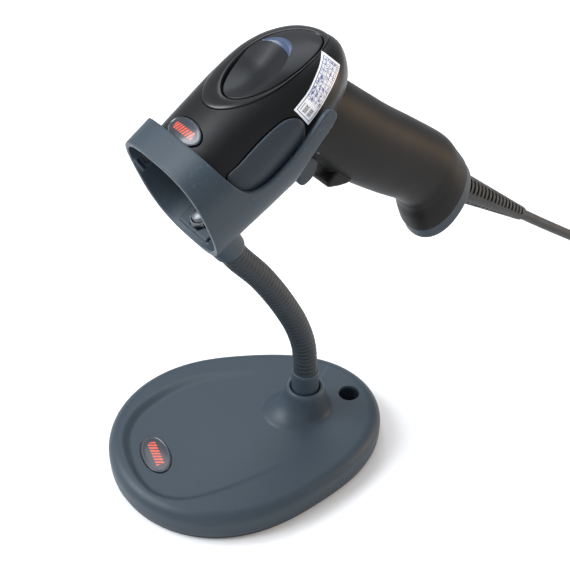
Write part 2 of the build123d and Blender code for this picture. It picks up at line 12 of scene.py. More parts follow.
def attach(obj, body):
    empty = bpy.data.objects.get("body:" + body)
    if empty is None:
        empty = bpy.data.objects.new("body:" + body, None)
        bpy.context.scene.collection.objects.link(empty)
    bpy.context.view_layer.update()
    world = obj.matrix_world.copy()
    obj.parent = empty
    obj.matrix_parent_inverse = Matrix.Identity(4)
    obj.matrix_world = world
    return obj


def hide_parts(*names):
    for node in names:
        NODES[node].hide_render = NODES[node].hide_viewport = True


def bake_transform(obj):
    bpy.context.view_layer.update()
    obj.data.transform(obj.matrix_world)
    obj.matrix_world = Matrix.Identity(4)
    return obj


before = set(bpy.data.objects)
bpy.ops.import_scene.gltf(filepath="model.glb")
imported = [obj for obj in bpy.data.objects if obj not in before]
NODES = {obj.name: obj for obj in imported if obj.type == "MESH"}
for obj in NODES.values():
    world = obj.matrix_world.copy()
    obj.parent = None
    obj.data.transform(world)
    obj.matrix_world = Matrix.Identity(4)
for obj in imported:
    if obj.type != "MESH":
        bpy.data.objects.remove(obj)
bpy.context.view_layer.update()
scene = bpy.context.scene
MM = 0.001

NECK_Y = 28.08          # where the neck leaves the base
STUD_Y = 31.0           # stud, nut and boss of the cup, in the scanner frame
BOSS_Z = 137.6          # lower end of the cup boss

# scanner frame: turned 14 degrees about world z and tilted 30 degrees
ORIGIN = np.array([0.0, NECK_Y, 0.0])
AXIS_X = np.array([0.970296, 0.241922, 0.0])
AXIS_Y = np.array([-0.209511, 0.840301, 0.5])
AXIS_Z = np.array([0.120961, -0.485148, 0.866025])


def to_world(points):
    p = np.asarray(points, float)
    return ORIGIN + p[..., 0:1] * AXIS_X + p[..., 1:2] * AXIS_Y + p[..., 2:3] * AXIS_Z


# ------------------------------------------------------------------ curves and outlines
def unit(vector):
    return vector / np.linalg.norm(vector)


def angles(count):
    return np.linspace(0, 2 * math.pi, count, endpoint=False)


def ellipse(centre, radii, count):
    turn = angles(count)
    return np.column_stack([centre[0] + radii[0] * np.cos(turn),
                            centre[1] + radii[1] * np.sin(turn)])


def scaled(outline, centre, share):
    return centre + (outline - centre) * share


def signed_power(values, power):
    return np.sign(values) * np.abs(values) ** power


def smooth_step(t):
    t = np.clip(t, 0, 1)
    return t * t * (3 - 2 * t)


def monotone_cubic(knots, values, wanted):
    """interpolates without overshoot between the knots"""
    step = np.diff(knots)
    slope = np.diff(values) / step
    tangent = np.zeros_like(values)
    for i in range(1, len(knots) - 1):
        if slope[i - 1] * slope[i] > 0:
            before = 2 * step[i] + step[i - 1]
            after = step[i] + 2 * step[i - 1]
            tangent[i] = (before + after) / (before / slope[i - 1] + after / slope[i])
    tangent[0], tangent[-1] = slope[0], slope[-1]
    k = np.clip(np.searchsorted(knots, wanted) - 1, 0, len(knots) - 2)
    t = (wanted - knots[k]) / step[k]
    return ((2 * t ** 3 - 3 * t ** 2 + 1) * values[k]
            + (t ** 3 - 2 * t ** 2 + t) * step[k] * tangent[k]
            + (-2 * t ** 3 + 3 * t ** 2) * values[k + 1]
            + (t ** 3 - t ** 2) * step[k] * tangent[k + 1])


def catmull(points, per_span, closed=False):
    """Catmull-Rom curve through the points"""
    points = np.asarray(points, float)
    count = len(points)
    out = []
    for span in range(count if closed else count - 1):
        near = [span + k for k in (-1, 0, 1, 2)]
        if closed:
            near = [k % count for k in near]
        else:
            near = [max(0, min(count - 1, k)) for k in near]
        p0, p1, p2, p3 = points[near]
        for t in np.linspace(0, 1, per_span, endpoint=False):
            out.append(0.5 * (2 * p1 + (p2 - p0) * t + (2 * p0 - 5 * p1 + 4 * p2 - p3) * t * t
                              + (3 * p1 - p0 - 3 * p2 + p3) * t ** 3))
    if not closed:
        out.append(points[-1])
    return np.array(out)


def run_lengths(path):
    """distance along a path to each of its points"""
    return np.concatenate([[0], np.cumsum(np.linalg.norm(np.diff(path, axis=0), axis=1))])


def resample(points, count, closed=True):
    path = np.vstack([points, points[:1]]) if closed else points
    lengths = run_lengths(path)
    wanted = np.linspace(0, lengths[-1], count, endpoint=not closed)
    return np.stack([np.interp(wanted, lengths, path[:, k]) for k in range(path.shape[1])], 1)


def depth_inside(points, polygon):
    """distance to a closed polygon, positive inside it"""
    nearest = np.full(len(points), 1e9)
    inside = np.zeros(len(points), bool)
    for start, end in zip(polygon, np.roll(polygon, -1, 0)):
        edge = end - start
        t = np.clip(((points - start) @ edge) / (edge @ edge), 0, 1)
        gap = np.linalg.norm(points - start - t[:, None] * edge, axis=1)
        nearest = np.minimum(nearest, gap)
        crosses = (start[1] > points[:, 1]) != (end[1] > points[:, 1])
        if abs(edge[1]) > 1e-12:
            crossing = start[0] + (points[:, 1] - start[1]) * edge[0] / edge[1]
            inside ^= crosses & (points[:, 0] < crossing)
    return np.where(inside, nearest, -nearest)


def section_ring(y, half_width, top, middle, bottom, top_power, bottom_power, count, offset):
    """rounded cross-section in x and z, with its own roundness above and below the middle"""
    turn = angles(count)
    cos, sin = np.cos(turn), np.sin(turn)
    power = 2 / np.where(sin >= 0, top_power, bottom_power)
    height = np.where(sin >= 0, top + offset - middle, middle - bottom + offset)
    return np.column_stack([(half_width + offset) * signed_power(cos, power),
                            np.full(count, y), middle + height * signed_power(sin, power)])


# ------------------------------------------------------------------ meshes
def link_new(name, data):
    ob = bpy.data.objects.new(name, data)
    scene.collection.objects.link(ob)
    return ob


def discard(ob):
    mesh = ob.data
    bpy.data.objects.remove(ob)
    bpy.data.meshes.remove(mesh)


def sharpen(ob, degrees):
    ob.data.shade_smooth()
    ob.data.set_sharp_from_angle(angle=math.radians(degrees))


def make_mesh(name, points, faces, local=True, uv=None, sharp=None):
    """local points are in the scanner frame, the others in the world; sharp is in degrees"""
    points = np.asarray(points, float)
    if local:
        points = to_world(points)
    mesh = bpy.data.meshes.new(name)
    mesh.from_pydata((points * MM).tolist(), [], [[int(i) for i in f] for f in faces])
    if uv is not None:
        attribute = mesh.attributes.new("patch_uv", "FLOAT_VECTOR", "POINT")
        vectors = np.zeros((len(points), 3), np.float32)
        vectors[:, :2] = uv
        attribute.data.foreach_set("vector", vectors.ravel())
    bm = bmesh.new()
    bm.from_mesh(mesh)
    bmesh.ops.recalc_face_normals(bm, faces=bm.faces)
    bm.to_mesh(mesh)
    bm.free()
    ob = link_new(name, mesh)
    mesh.shade_smooth()
    if sharp:
        sharpen(ob, sharp)
    return ob


def ring_faces(rows, count):
    """quads between successive closed rings"""
    faces = []
    for i in range(rows - 1):
        low = i * count
        high = low + count
        for j in range(count):
            k = (j + 1) % count
            faces.append((low + j, low + k, high + k, high + j))
    return faces


def tube(name, rows, local=True, uv=None, sharp=None):
    """closed rings in a row, each end closed with a fan to a middle point"""
    rows = np.asarray(rows, float)
    row_count, count, _ = rows.shape
    total = row_count * count
    last = total - count
    faces = ring_faces(row_count, count)
    faces += [(total, (j + 1) % count, j) for j in range(count)]
    faces += [(total + 1, last + j, last + (j + 1) % count) for j in range(count)]
    points = np.vstack([rows.reshape(-1, 3), rows[0].mean(0), rows[-1].mean(0)])
    if uv is not None:
        uv = np.vstack([uv, np.zeros((2, 2))])
    return make_mesh(name, points, faces, local, uv, sharp)


def torus(name, rows, local=True, sharp=None):
    """rings that close on themselves in both directions"""
    rows = np.asarray(rows, float)
    row_count, count, _ = rows.shape
    faces = ring_faces(row_count, count)
    last = (row_count - 1) * count
    for j in range(count):
        k = (j + 1) % count
        faces.append((last + j, last + k, k, j))
    return make_mesh(name, rows.reshape(-1, 3), faces, local, None, sharp)


def lathe(name, profile, origin, axis, count=64, local=True, sharp=None, closed=False):
    """profile: (distance along the axis, radius)"""
    axis = unit(np.asarray(axis, float))
    helper = np.array([1.0, 0, 0]) if abs(axis[0]) < 0.9 else np.array([0, 1.0, 0])
    across = unit(np.cross(axis, helper))
    other = np.cross(axis, across)
    turn = angles(count)
    ring = np.cos(turn)[:, None] * across + np.sin(turn)[:, None] * other
    rows = [np.asarray(origin) + axis * along + ring * radius for along, radius in profile]
    return (torus if closed else tube)(name, rows, local, sharp=sharp)


def puck(name, outline, half_width, rim, steps=5, count=96, sharp=None):
    """a side outline (y, z) carried across x, with rounded rims"""
    outline = resample(np.asarray(outline, float), count)
    centre = outline.mean(0)
    along = np.roll(outline, -1, 0) - np.roll(outline, 1, 0)
    normal = np.stack([along[:, 1], -along[:, 0]], 1)
    normal /= np.linalg.norm(normal, axis=1, keepdims=True) + 1e-9
    if ((outline - centre) * normal).sum() < 0:
        normal = -normal
    curve = [(rim * (1 - math.sin(a)), rim * (1 - math.cos(a)))
             for a in np.linspace(0, math.pi / 2, steps)]
    profile = [(-half_width + x, inset) for x, inset in curve[::-1]]
    profile += [(half_width - x, inset) for x, inset in curve]
    face = centre + (outline - normal * rim - centre) * 0.5
    rows = [np.column_stack([np.full(count, x), outline - normal * inset])
            for x, inset in profile]
    rows.insert(0, np.column_stack([np.full(count, -half_width), face]))
    rows.append(np.column_stack([np.full(count, half_width), face]))
    return tube(name, rows, sharp=sharp)


def prism(ring_a, ring_b):
    count = len(ring_a)
    faces = [tuple(range(count)), tuple(range(2 * count - 1, count - 1, -1))]
    faces += [(i, (i + 1) % count, count + (i + 1) % count, count + i) for i in range(count)]
    return make_mesh("prism", list(ring_a) + list(ring_b), faces)


def side_prism(outline, half_width):
    """a side outline (y, z) carried straight across x"""
    return prism([(-half_width, y, z) for y, z in outline],
                 [(half_width, y, z) for y, z in outline])


def side_box(side, x_range, y_range, z_range):
    """box on the left (side 1) or right (side -1)"""
    points = [(x, y, z) for x in sorted(side * x for x in x_range)
              for y in y_range for z in z_range]
    faces = [(0, 1, 3, 2), (4, 6, 7, 5), (0, 4, 5, 1), (2, 3, 7, 6), (0, 2, 6, 4), (1, 5, 7, 3)]
    return make_mesh("box", points, faces)


def sheet(name, upper, lower, rows, cols, uv=None, sharp=None):
    """closed thin sheet from an upper and a lower grid of points"""
    total = rows * cols
    faces = [(i * cols + j, i * cols + j + 1, (i + 1) * cols + j + 1, (i + 1) * cols + j)
             for i in range(rows - 1) for j in range(cols - 1)]
    faces += [tuple(k + total for k in f[::-1]) for f in faces]
    border = list(range(cols))
    border += [i * cols + cols - 1 for i in range(1, rows)]
    border += [(rows - 1) * cols + j for j in range(cols - 2, -1, -1)]
    border += [i * cols for i in range(rows - 2, 0, -1)]
    for here, there in zip(border, border[1:] + border[:1]):
        faces.append((here, there, there + total, here + total))
    return make_mesh(name, np.vstack([upper, lower]), faces, uv=uv, sharp=sharp)


def bake(ob):
    """applies the modifiers"""
    graph = bpy.context.evaluated_depsgraph_get()
    mesh = bpy.data.meshes.new_from_object(ob.evaluated_get(graph),
                                           preserve_all_data_layers=True, depsgraph=graph)
    ob.modifiers.clear()
    old = ob.data
    ob.data = mesh
    bpy.data.meshes.remove(old)


def boolean(ob, cutter, operation="DIFFERENCE"):
    modifier = ob.modifiers.new("b", "BOOLEAN")
    modifier.object = cutter
    modifier.operation = operation
    modifier.solver = "EXACT"
    bake(ob)
    discard(cutter)


def split(ob, axis, place, half_gap, names):
    """cuts a closed mesh in two across a scanner axis, leaving a gap; far side first"""
    parts = []
    for name, side in zip(names, (1, -1)):
        bm = bmesh.new()
        bm.from_mesh(ob.data)
        cut = bmesh.ops.bisect_plane(
            bm, geom=bm.verts[:] + bm.edges[:] + bm.faces[:], dist=1e-7,
            plane_co=Vector((ORIGIN + (place + side * half_gap) * axis) * MM),
            plane_no=Vector(axis), clear_inner=side > 0, clear_outer=side < 0)
        edges = [e for e in cut["geom_cut"] if isinstance(e, bmesh.types.BMEdge) and e.is_valid]
        bmesh.ops.triangle_fill(bm, use_beauty=True, edges=edges)
        bmesh.ops.recalc_face_normals(bm, faces=bm.faces)
        mesh = bpy.data.meshes.new(name)
        bm.to_mesh(mesh)
        bm.free()
        parts.append(link_new(name, mesh))
        mesh.shade_smooth()
    discard(ob)
    return parts


# ------------------------------------------------------------------ materials
BLACK, WHITE = (0, 0, 0, 1), (1, 1, 1, 1)


def srgb(*rgb):
    """0-255 display colour to linear, with alpha"""
    return tuple((c / 255) / 12.92 if c / 255 <= 0.04045 else ((c / 255 + 0.055) / 1.055) ** 2.4
                 for c in rgb) + (1.0,)


def shade(colour, gain, lift=0.0):
    return tuple(min(1, c * gain + lift) for c in colour[:3]) + (1,)


class Mat:
    """short names for the shader nodes of one material"""

    def __init__(self, name):
        self.material = bpy.data.materials.new(name)
        self.material.use_nodes = True
        self.tree = self.material.node_tree
        self.shader = next(n for n in self.tree.nodes if n.type == "BSDF_PRINCIPLED")
        self.object_co = self.node("ShaderNodeTexCoord").outputs["Object"]

    def node(self, kind, **settings):
        node = self.tree.nodes.new(kind)
        for key, value in settings.items():
            setattr(node, key, value)
        return node

    def feed(self, socket, value):
        if isinstance(value, bpy.types.NodeSocket):
            self.tree.links.new(value, socket)
        else:
            socket.default_value = value

    def set(self, name, value):
        self.feed(self.shader.inputs[name], value)

    def noise(self, scale, detail=3.0, rough=0.55, vector=None, distortion=0.0):
        node = self.node("ShaderNodeTexNoise")
        node.inputs["Scale"].default_value = scale
        node.inputs["Detail"].default_value = detail
        node.inputs["Roughness"].default_value = rough
        node.inputs["Distortion"].default_value = distortion
        self.feed(node.inputs["Vector"], vector or self.object_co)
        return node.outputs["Fac"]

    def ramp(self, fac, low=BLACK, high=WHITE, start=0.3, end=0.7):
        node = self.node("ShaderNodeValToRGB")
        first, last = node.color_ramp.elements
        first.position, first.color = start, low
        last.position, last.color = end, high
        self.feed(node.inputs["Fac"], fac)
        return node.outputs["Color"]

    def math(self, operation, *values, clamp=False):
        node = self.node("ShaderNodeMath", operation=operation, use_clamp=clamp)
        for socket, value in zip(node.inputs, values):
            self.feed(socket, value)
        return node.outputs[0]

    def add(self, a, b, clamp=False):
        return self.math("ADD", a, b, clamp=clamp)

    def mul(self, a, b, clamp=False):
        return self.math("MULTIPLY", a, b, clamp=clamp)

    def above(self, value, limit):
        return self.math("GREATER_THAN", value, limit)

    def below(self, value, limit):
        return self.math("LESS_THAN", value, limit)

    def within(self, value, low, high):
        return self.mul(self.above(value, low), self.below(value, high))

    def stripes(self, value, per_unit):
        """sawtooth from 0 to 1"""
        return self.math("FRACT", self.mul(value, per_unit))

    def vary(self, noise, low, spread):
        return self.add(low, self.mul(noise, spread))

    def mix(self, fac, under, over):
        node = self.node("ShaderNodeMix", data_type="RGBA", blend_type="MIX")
        for index, value in ((0, fac), (6, under), (7, over)):
            self.feed(node.inputs[index], value)
        return node.outputs[2]

    def bump(self, height, strength, distance, normal=None):
        node = self.node("ShaderNodeBump")
        node.inputs["Strength"].default_value = strength
        node.inputs["Distance"].default_value = distance
        self.feed(node.inputs["Height"], height)
        if normal is not None:
            self.feed(node.inputs["Normal"], normal)
        return node.outputs["Normal"]

    def stretch(self, vector, scale):
        node = self.node("ShaderNodeMapping")
        node.inputs["Scale"].default_value = scale
        self.feed(node.inputs["Vector"], vector)
        return node.outputs[0]

    def split_xyz(self, vector):
        node = self.node("ShaderNodeSeparateXYZ")
        self.feed(node.inputs[0], vector)
        return node.outputs

    def patch_uv(self):
        """the patch_uv attribute and its two components"""
        vector = self.node("ShaderNodeAttribute", attribute_name="patch_uv").outputs["Vector"]
        parts = self.split_xyz(vector)
        return vector, parts["X"], parts["Y"]


GRAIN_SCALE = 1700.0    # fine moulding grain


def plastic(name, rgb, rough, grain=0.10, drift=0.10, coat=0.0, spec=0.5, edge_highlight=0.35, dust=0.06):
    """moulded plastic: grain, slight colour and gloss drift, a painted highlight on convex edges,
    a little dust
    """
    M = Mat(name)
    base = srgb(*rgb)
    colour = M.ramp(M.noise(scale=26.0, detail=4.0, rough=0.6), start=0.32, end=0.68,
                    low=shade(base, 1 - drift), high=shade(base, 1 + drift))
    fine = M.ramp(M.noise(scale=GRAIN_SCALE, detail=2.0, rough=0.6), start=0.35, end=0.68,
                  low=shade(base, 0.72), high=shade(base, 1.35))
    fine_share = 0.22
    colour = M.mix(fine_share, colour, fine)
    geometry = M.node("ShaderNodeNewGeometry")
    flat, edge_gain = 0.515, 14.0       # pointiness of a flat area, and how fast edges show
    # painted highlight: convex edges, found by pointiness, are lightened towards a paler copy of
    # the colour in noisy patches
    edge = M.mul(M.math("SUBTRACT", geometry.outputs["Pointiness"], flat), edge_gain, clamp=True)
    edge = M.mul(edge, M.mul(M.noise(scale=420.0), edge_highlight * 1.6), clamp=True)
    colour = M.mix(edge, colour, shade(base, gain=1.9, lift=0.015))
    normal_z = M.split_xyz(geometry.outputs["Normal"])["Z"]
    settled = M.mul(M.math("MAXIMUM", normal_z, 0.0), dust)     # dust on upward faces
    specks = M.ramp(M.noise(scale=760.0, detail=5.0, rough=0.7), start=0.52, end=0.74)
    M.set("Base Color", M.mix(M.mul(settled, specks), colour, (0.42, 0.42, 0.40, 1)))
    gloss = M.vary(M.noise(scale=60.0, detail=4.0, rough=0.65), low=rough - 0.05, spread=0.11)
    dust_matting = 0.8
    M.set("Roughness", M.add(gloss, M.mul(settled, dust_matting), clamp=True))
    M.set("Specular IOR Level", spec)
    if coat:
        M.set("Coat Weight", coat)
        M.set("Coat Roughness", 0.12)
    normal = M.bump(M.noise(scale=GRAIN_SCALE, detail=2.0, rough=0.6),
                    strength=grain, distance=0.00009)
    M.set("Normal", M.bump(M.noise(scale=150.0, detail=2.0, rough=0.5),
                           strength=0.05, distance=0.0004, normal=normal))
    return M.material


def rubber(name, rgb, rough=0.62):
    M = Mat(name)
    base = srgb(*rgb)
    colour = M.ramp(M.noise(scale=240.0, detail=4.0, rough=0.65),
                    low=shade(base, 0.75), high=shade(base, 1.3))
    dust = M.ramp(M.noise(scale=900.0, detail=5.0, rough=0.75), start=0.58, end=0.82)
    dust_share = 0.18
    M.set("Base Color", M.mix(M.mul(dust, dust_share), colour, (0.2, 0.19, 0.18, 1)))
    M.set("Roughness", M.vary(M.noise(scale=130.0), low=rough - 0.08, spread=0.18))
    M.set("Normal", M.bump(M.noise(scale=2100.0, rough=0.6), strength=0.22, distance=0.0001))
    return M.material


def metal(name, rgb, rough, brushed=False, metallic=1.0):
    M = Mat(name)
    base = srgb(*rgb)
    vector = M.object_co
    if brushed:
        vector = M.stretch(vector, scale=(1.0, 1.0, 40.0))
    grain = M.noise(scale=500.0, detail=4.0, rough=0.6, vector=vector)
    M.set("Base Color", M.ramp(grain, low=shade(base, 0.72), high=shade(base, 1.15)))
    M.set("Metallic", metallic)
    M.set("Roughness", M.vary(M.noise(scale=180.0, detail=4.0, rough=0.7),
                              low=rough - 0.06, spread=0.16))
    M.set("Normal", M.bump(grain, strength=0.15, distance=0.00008))
    return M.material


def circuit_board(name):
    """green laminate ruled with tracks and dotted with gold pads"""
    M = Mat(name)
    bricks = M.node("ShaderNodeTexBrick")
    bricks.inputs["Scale"].default_value = 420.0
    bricks.inputs["Color1"].default_value = srgb(24, 84, 52)
    bricks.inputs["Color2"].default_value = srgb(18, 68, 42)
    bricks.inputs["Mortar"].default_value = srgb(120, 150, 80)
    bricks.inputs["Mortar Size"].default_value = 0.03
    M.feed(bricks.inputs["Vector"], M.object_co)
    pads = M.ramp(M.noise(scale=900.0, detail=1.0), start=0.63, end=0.66)
    M.set("Base Color", M.mix(pads, bricks.outputs["Color"], srgb(196, 170, 90)))
    M.set("Roughness", 0.35)
    M.set("Coat Weight", 0.4)
    M.set("Normal", M.bump(bricks.outputs["Fac"], strength=0.3, distance=0.00005))
    return M.material


def window_glass(name):
    M = Mat(name)
    M.set("Base Color", M.ramp(M.noise(scale=40.0), low=srgb(40, 6, 10), high=srgb(70, 10, 14)))
    M.set("Roughness", M.vary(M.noise(scale=300.0, detail=4.0), low=0.04, spread=0.05))
    M.set("Coat Weight", 0.6)
    M.set("Transmission Weight", 0.25)
    return M.material


def badge_enamel(name):
    """dark glossy oval with a plain mark of slanted red bars and a fine ring"""
    M = Mat(name)
    _, u, v = M.patch_uv()
    mark_half_u, mark_half_v, mark_centre_v = 0.62, 0.30, 0.02
    inside_u = M.below(M.math("ABSOLUTE", u), mark_half_u)
    from_middle = M.math("ABSOLUTE", M.math("SUBTRACT", v, mark_centre_v))
    inside_v = M.below(from_middle, mark_half_v)
    lean, shift = -0.22, 4.0            # the shift keeps the stripe count positive
    slant = M.add(M.add(u, shift), M.mul(v, lean))
    bars_per_unit, gap_share = 6.4, 0.42
    bars = M.above(M.stripes(slant, bars_per_unit), gap_share)
    mark = M.mul(M.mul(inside_u, inside_v), bars)
    radius = M.math("SQRT", M.add(M.mul(u, u), M.mul(v, v)))
    ring_radius, ring_half = 0.90, 0.022
    ring = M.below(M.math("ABSOLUTE", M.math("SUBTRACT", radius, ring_radius)), ring_half)
    ground = M.ramp(M.noise(scale=90.0), low=srgb(17, 24, 36), high=srgb(26, 36, 50))
    red = M.ramp(M.noise(scale=500.0), low=srgb(196, 60, 34), high=srgb(228, 84, 52))
    colour = M.mix(ring, ground, srgb(16, 20, 26))
    M.set("Base Color", M.mix(mark, colour, red))
    M.set("Roughness", M.vary(M.noise(scale=200.0, detail=4.0), low=0.24, spread=0.14))
    M.set("Coat Weight", 0.35)
    M.set("Coat Roughness", 0.1)
    M.set("Normal", M.bump(mark, strength=0.5, distance=0.0002))
    return M.material


def label_print(name):
    """white sticker: a frame, a ruled table with blots, and a broken block near one end"""
    M = Mat(name)
    uv, u, v = M.patch_uv()

    def box(low_u, high_u, low_v, high_v):
        return M.mul(M.within(u, low_u, high_u), M.within(v, low_v, high_v))

    paper = M.ramp(M.noise(scale=160.0), low=srgb(226, 230, 238), high=srgb(244, 246, 250))
    inner = box(low_u=0.035, high_u=0.965, low_v=0.07, high_v=0.93)
    core = box(low_u=0.045, high_u=0.955, low_v=0.10, high_v=0.90)
    frame_line = M.math("SUBTRACT", inner, core)
    table = box(low_u=0.27, high_u=0.95, low_v=0.10, high_v=0.90)
    columns, column_line = 13.0, 0.10   # counts, and line widths as shares of a cell
    table_rows, row_line = 5.0, 0.12
    upright = M.below(M.stripes(u, columns), column_line)
    level = M.below(M.stripes(v, table_rows), row_line)
    lines = M.mul(M.math("MAXIMUM", upright, level), table)
    # share of the noise that stays blank in each printed pattern
    blot_blank, blue_blank, block_blank = 0.585, 0.60, 0.47
    blots = M.noise(scale=1.0, detail=2.0, rough=0.6, vector=M.stretch(uv, (90.0, 26.0, 1.0)))
    blots = M.mul(M.above(blots, blot_blank), table)
    blue = M.noise(scale=1.0, detail=1.0, rough=0.5, distortion=1.2,
                   vector=M.stretch(uv, (22.0, 8.0, 1.0)))
    blue = M.mul(M.above(blue, blue_blank), table)
    cells = M.noise(scale=1.0, detail=0.0, rough=0.5, vector=M.stretch(uv, (120.0, 46.0, 1.0)))
    block = M.mul(box(low_u=0.075, high_u=0.20, low_v=0.16, high_v=0.84),
                  M.above(cells, block_blank))
    block_bands, band_share = 3.6, 0.74
    block = M.mul(block, M.below(M.stripes(v, block_bands), band_share))
    line_ink, blot_ink, blue_ink = 0.8, 0.75, 0.85
    colour = M.mix(M.mul(lines, line_ink), paper, srgb(90, 98, 120))
    colour = M.mix(frame_line, colour, srgb(70, 74, 90))
    colour = M.mix(M.mul(blots, blot_ink), colour, srgb(60, 66, 92))
    colour = M.mix(M.mul(blue, blue_ink), colour, srgb(40, 48, 150))
    M.set("Base Color", M.mix(block, colour, srgb(20, 20, 24)))
    M.set("Roughness", M.vary(M.noise(scale=400.0), low=0.36, spread=0.12))
    M.set("Normal", M.bump(M.noise(scale=1300.0), strength=0.08, distance=0.00006))
    return M.material


def floor_paint():
    M = Mat("floor_paint")
    M.set("Base Color", M.ramp(M.noise(scale=3.0, detail=2.0),
                               low=(0.86, 0.86, 0.86, 1), high=(0.90, 0.90, 0.90, 1)))
    M.set("Roughness", 0.9)
    M.set("Specular IOR Level", 0.05)
    return M.material


MATS = {
    "slate": plastic("slate_moulding", (44, 56, 65), rough=0.46, grain=0.14, drift=0.05,
                     spec=0.34, dust=0.012),
    "slate_dark": plastic("slate_grip_moulding", (36, 45, 53), rough=0.44, grain=0.14,
                          drift=0.05, spec=0.36, dust=0.012),
    "neck": plastic("slate_sleeve", (36, 43, 48), rough=0.5, grain=0.16, drift=0.06,
                    edge_highlight=0.25, spec=0.3, dust=0.01),
    "black": plastic("black_moulding", (9, 10, 11), rough=0.36, grain=0.07, edge_highlight=0.06,
                     spec=0.22, dust=0.008),
    # the slight brown tint of the handle colour is painted warm bounce light from below
    "handle": plastic("handle_moulding_warm_bounce", (11, 10, 9), rough=0.46, edge_highlight=0.06, spec=0.2,
                      dust=0.006),
    "gloss": plastic("gloss_black_moulding", (4, 4, 5), rough=0.3, grain=0.03, drift=0.12,
                     coat=0.12, edge_highlight=0.05, spec=0.3, dust=0.004),
    "dish": plastic("dish_moulding", (11, 13, 16), rough=0.36, grain=0.05, drift=0.08,
                    coat=0.03, edge_highlight=0.06, spec=0.24, dust=0.005),
    "lens": plastic("lens_moulding", (44, 61, 88), rough=0.32, grain=0.03, drift=0.06,
                    coat=0.2, edge_highlight=0.05, spec=0.35, dust=0.004),
    "rubber": rubber("mat_rubber", (34, 34, 36)),
    "cable": rubber("cable_rubber", (7, 7, 8), rough=0.5),
    "boot": rubber("boot_rubber", (7, 7, 8), rough=0.5),
    "steel": metal("steel_zinc", (104, 106, 110), rough=0.42),
    "plate": metal("steel_plate", (128, 132, 136), rough=0.38, brushed=True),
    "cast": metal("cast_iron", (70, 72, 76), rough=0.62, metallic=0.6),
    "alloy": metal("engine_alloy", (146, 148, 150), rough=0.42),
    "copper": metal("winding_copper", (184, 108, 62), rough=0.34, brushed=True),
    "mirror": metal("mirror_coating", (232, 234, 238), rough=0.06),
    "pcb": circuit_board("board_laminate"),
    "chip": plastic("chip_epoxy", (28, 28, 30), rough=0.5, grain=0.2),
    "window": window_glass("window_red"),
    "badge": badge_enamel("badge_enamel"),
    "label": label_print("label_print"),
    "socket": plastic("connector_nylon", (205, 200, 186), rough=0.5),
    "screw": metal("screw_black_oxide", (54, 54, 56), rough=0.35, metallic=0.9),
}


def dress(ob, mat):
    ob.data.materials.clear()
    ob.data.materials.append(MATS[mat])


def piece(ob, mat, body, node):
    """gives a finished piece its material, hangs it on its body and hides the frame node it
    stands in for
    """
    dress(ob, mat)
    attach(ob, body)
    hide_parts(node)


# ------------------------------------------------------------------ stand base
RIM_SERIES = (62.61, 5.49, 7.88, -1.76)     # plan radius: cosine series from the front
BASE_HEIGHT = 15.6
RIM_WIDTH, RIM_DROP = 6.8, 6.0              # rounded top edge
DECK_MARGIN = 7.0                           # the deck rings stop this far inside the rim
WELL_Y, WELL_RADIUS = 53.0, 5.2             # screw well behind the neck
BASE_BADGE = (0.8, -52.4)
BASE_BADGE_TOP = 13.85

# closed plan outline (x, y) of the hollow in the deck
TRAY = resample(catmull([
    (-30, 24), (-38.0, 8.3), (-42.2, -10), (-43, -22.4), (-38.6, -40.3), (-30.3, -55),
    (-17.4, -64.2), (-3.3, -67.0), (12.1, -66.4), (24.8, -62.6), (32.9, -54.6), (36.8, -43.5),
    (37.3, -26.7), (35.5, -6.9), (31.8, 9.2), (27, 24), (0, 30)], 8, True), 220)

# neck bore and boss: height, radius, extra radius towards the front
BOSS_PROFILE = [
    (12.0, 7.3, 0), (18.0, 7.3, 0), (26.0, 7.3, 0), (29.2, 7.32, 0), (29.9, 7.6, 0),
    (30.25, 8.1, 0), (30.2, 8.7, 0), (29.7, 9.3, 0), (28.6, 9.75, 0), (27.0, 10.1, 0.1),
    (25.0, 10.5, 0.4), (23.0, 10.95, 1.0), (21.0, 11.5, 1.9), (19.4, 12.0, 3.0),
    (18.0, 12.5, 4.3), (16.9, 13.0, 5.8), (16.2, 13.5, 6.9), (15.75, 14.0, 7.7)]
# outer wall, lower edge and inside of the wall: height, inset from the rim
WALL_PROFILE = [
    (8.2, 0.0), (6.0, 0.05), (4.0, 0.15), (2.6, 0.35), (1.9, 0.7), (1.65, 1.2), (1.65, 2.4),
    (4.0, 2.7), (8.5, 2.9), (10.2, 5.0)]
CEILING_HEIGHT, CEILING_RADIUS = 10.2, 9.4  # underside, closing in around the neck


def rim_from_neck(count):
    """bearings around the neck, and the rim's distance from the neck at each"""
    theta = angles(3000)
    radius = sum(c * np.cos(k * theta) for k, c in enumerate(RIM_SERIES))
    rim = np.stack([radius * np.sin(theta), -radius * np.cos(theta)], 1) - [0, NECK_Y]
    bearing = np.unwrap(np.arctan2(rim[:, 0], -rim[:, 1]))
    reach = np.linalg.norm(rim, axis=1)
    order = np.argsort(bearing)
    bearing, reach = bearing[order], reach[order]
    end = bearing[0] + 2 * math.pi
    wanted = np.linspace(bearing[0], end, count, endpoint=False)
    return wanted, np.interp(wanted, np.append(bearing, end), np.append(reach, reach[0]))


def deck_height(plan, from_rim):
    """top of the cover: a rounded edge, and a tray that deepens forward"""
    t = np.clip(from_rim / RIM_WIDTH, 0, 1)
    z = BASE_HEIGHT - RIM_DROP + RIM_DROP * np.sqrt(np.clip(1 - (1 - t) ** 2, 0, 1))
    depth = 2.5 * np.clip((18.0 - plan[:, 1]) / 62.0, 0, 1) ** 1.1
    bank = 4.2 + 2.4 * np.clip((-plan[:, 0] + 10) / 50, 0, 1)    # wider on the right
    return z - depth * smooth_step((depth_inside(plan, TRAY) + 0.6) / bank)


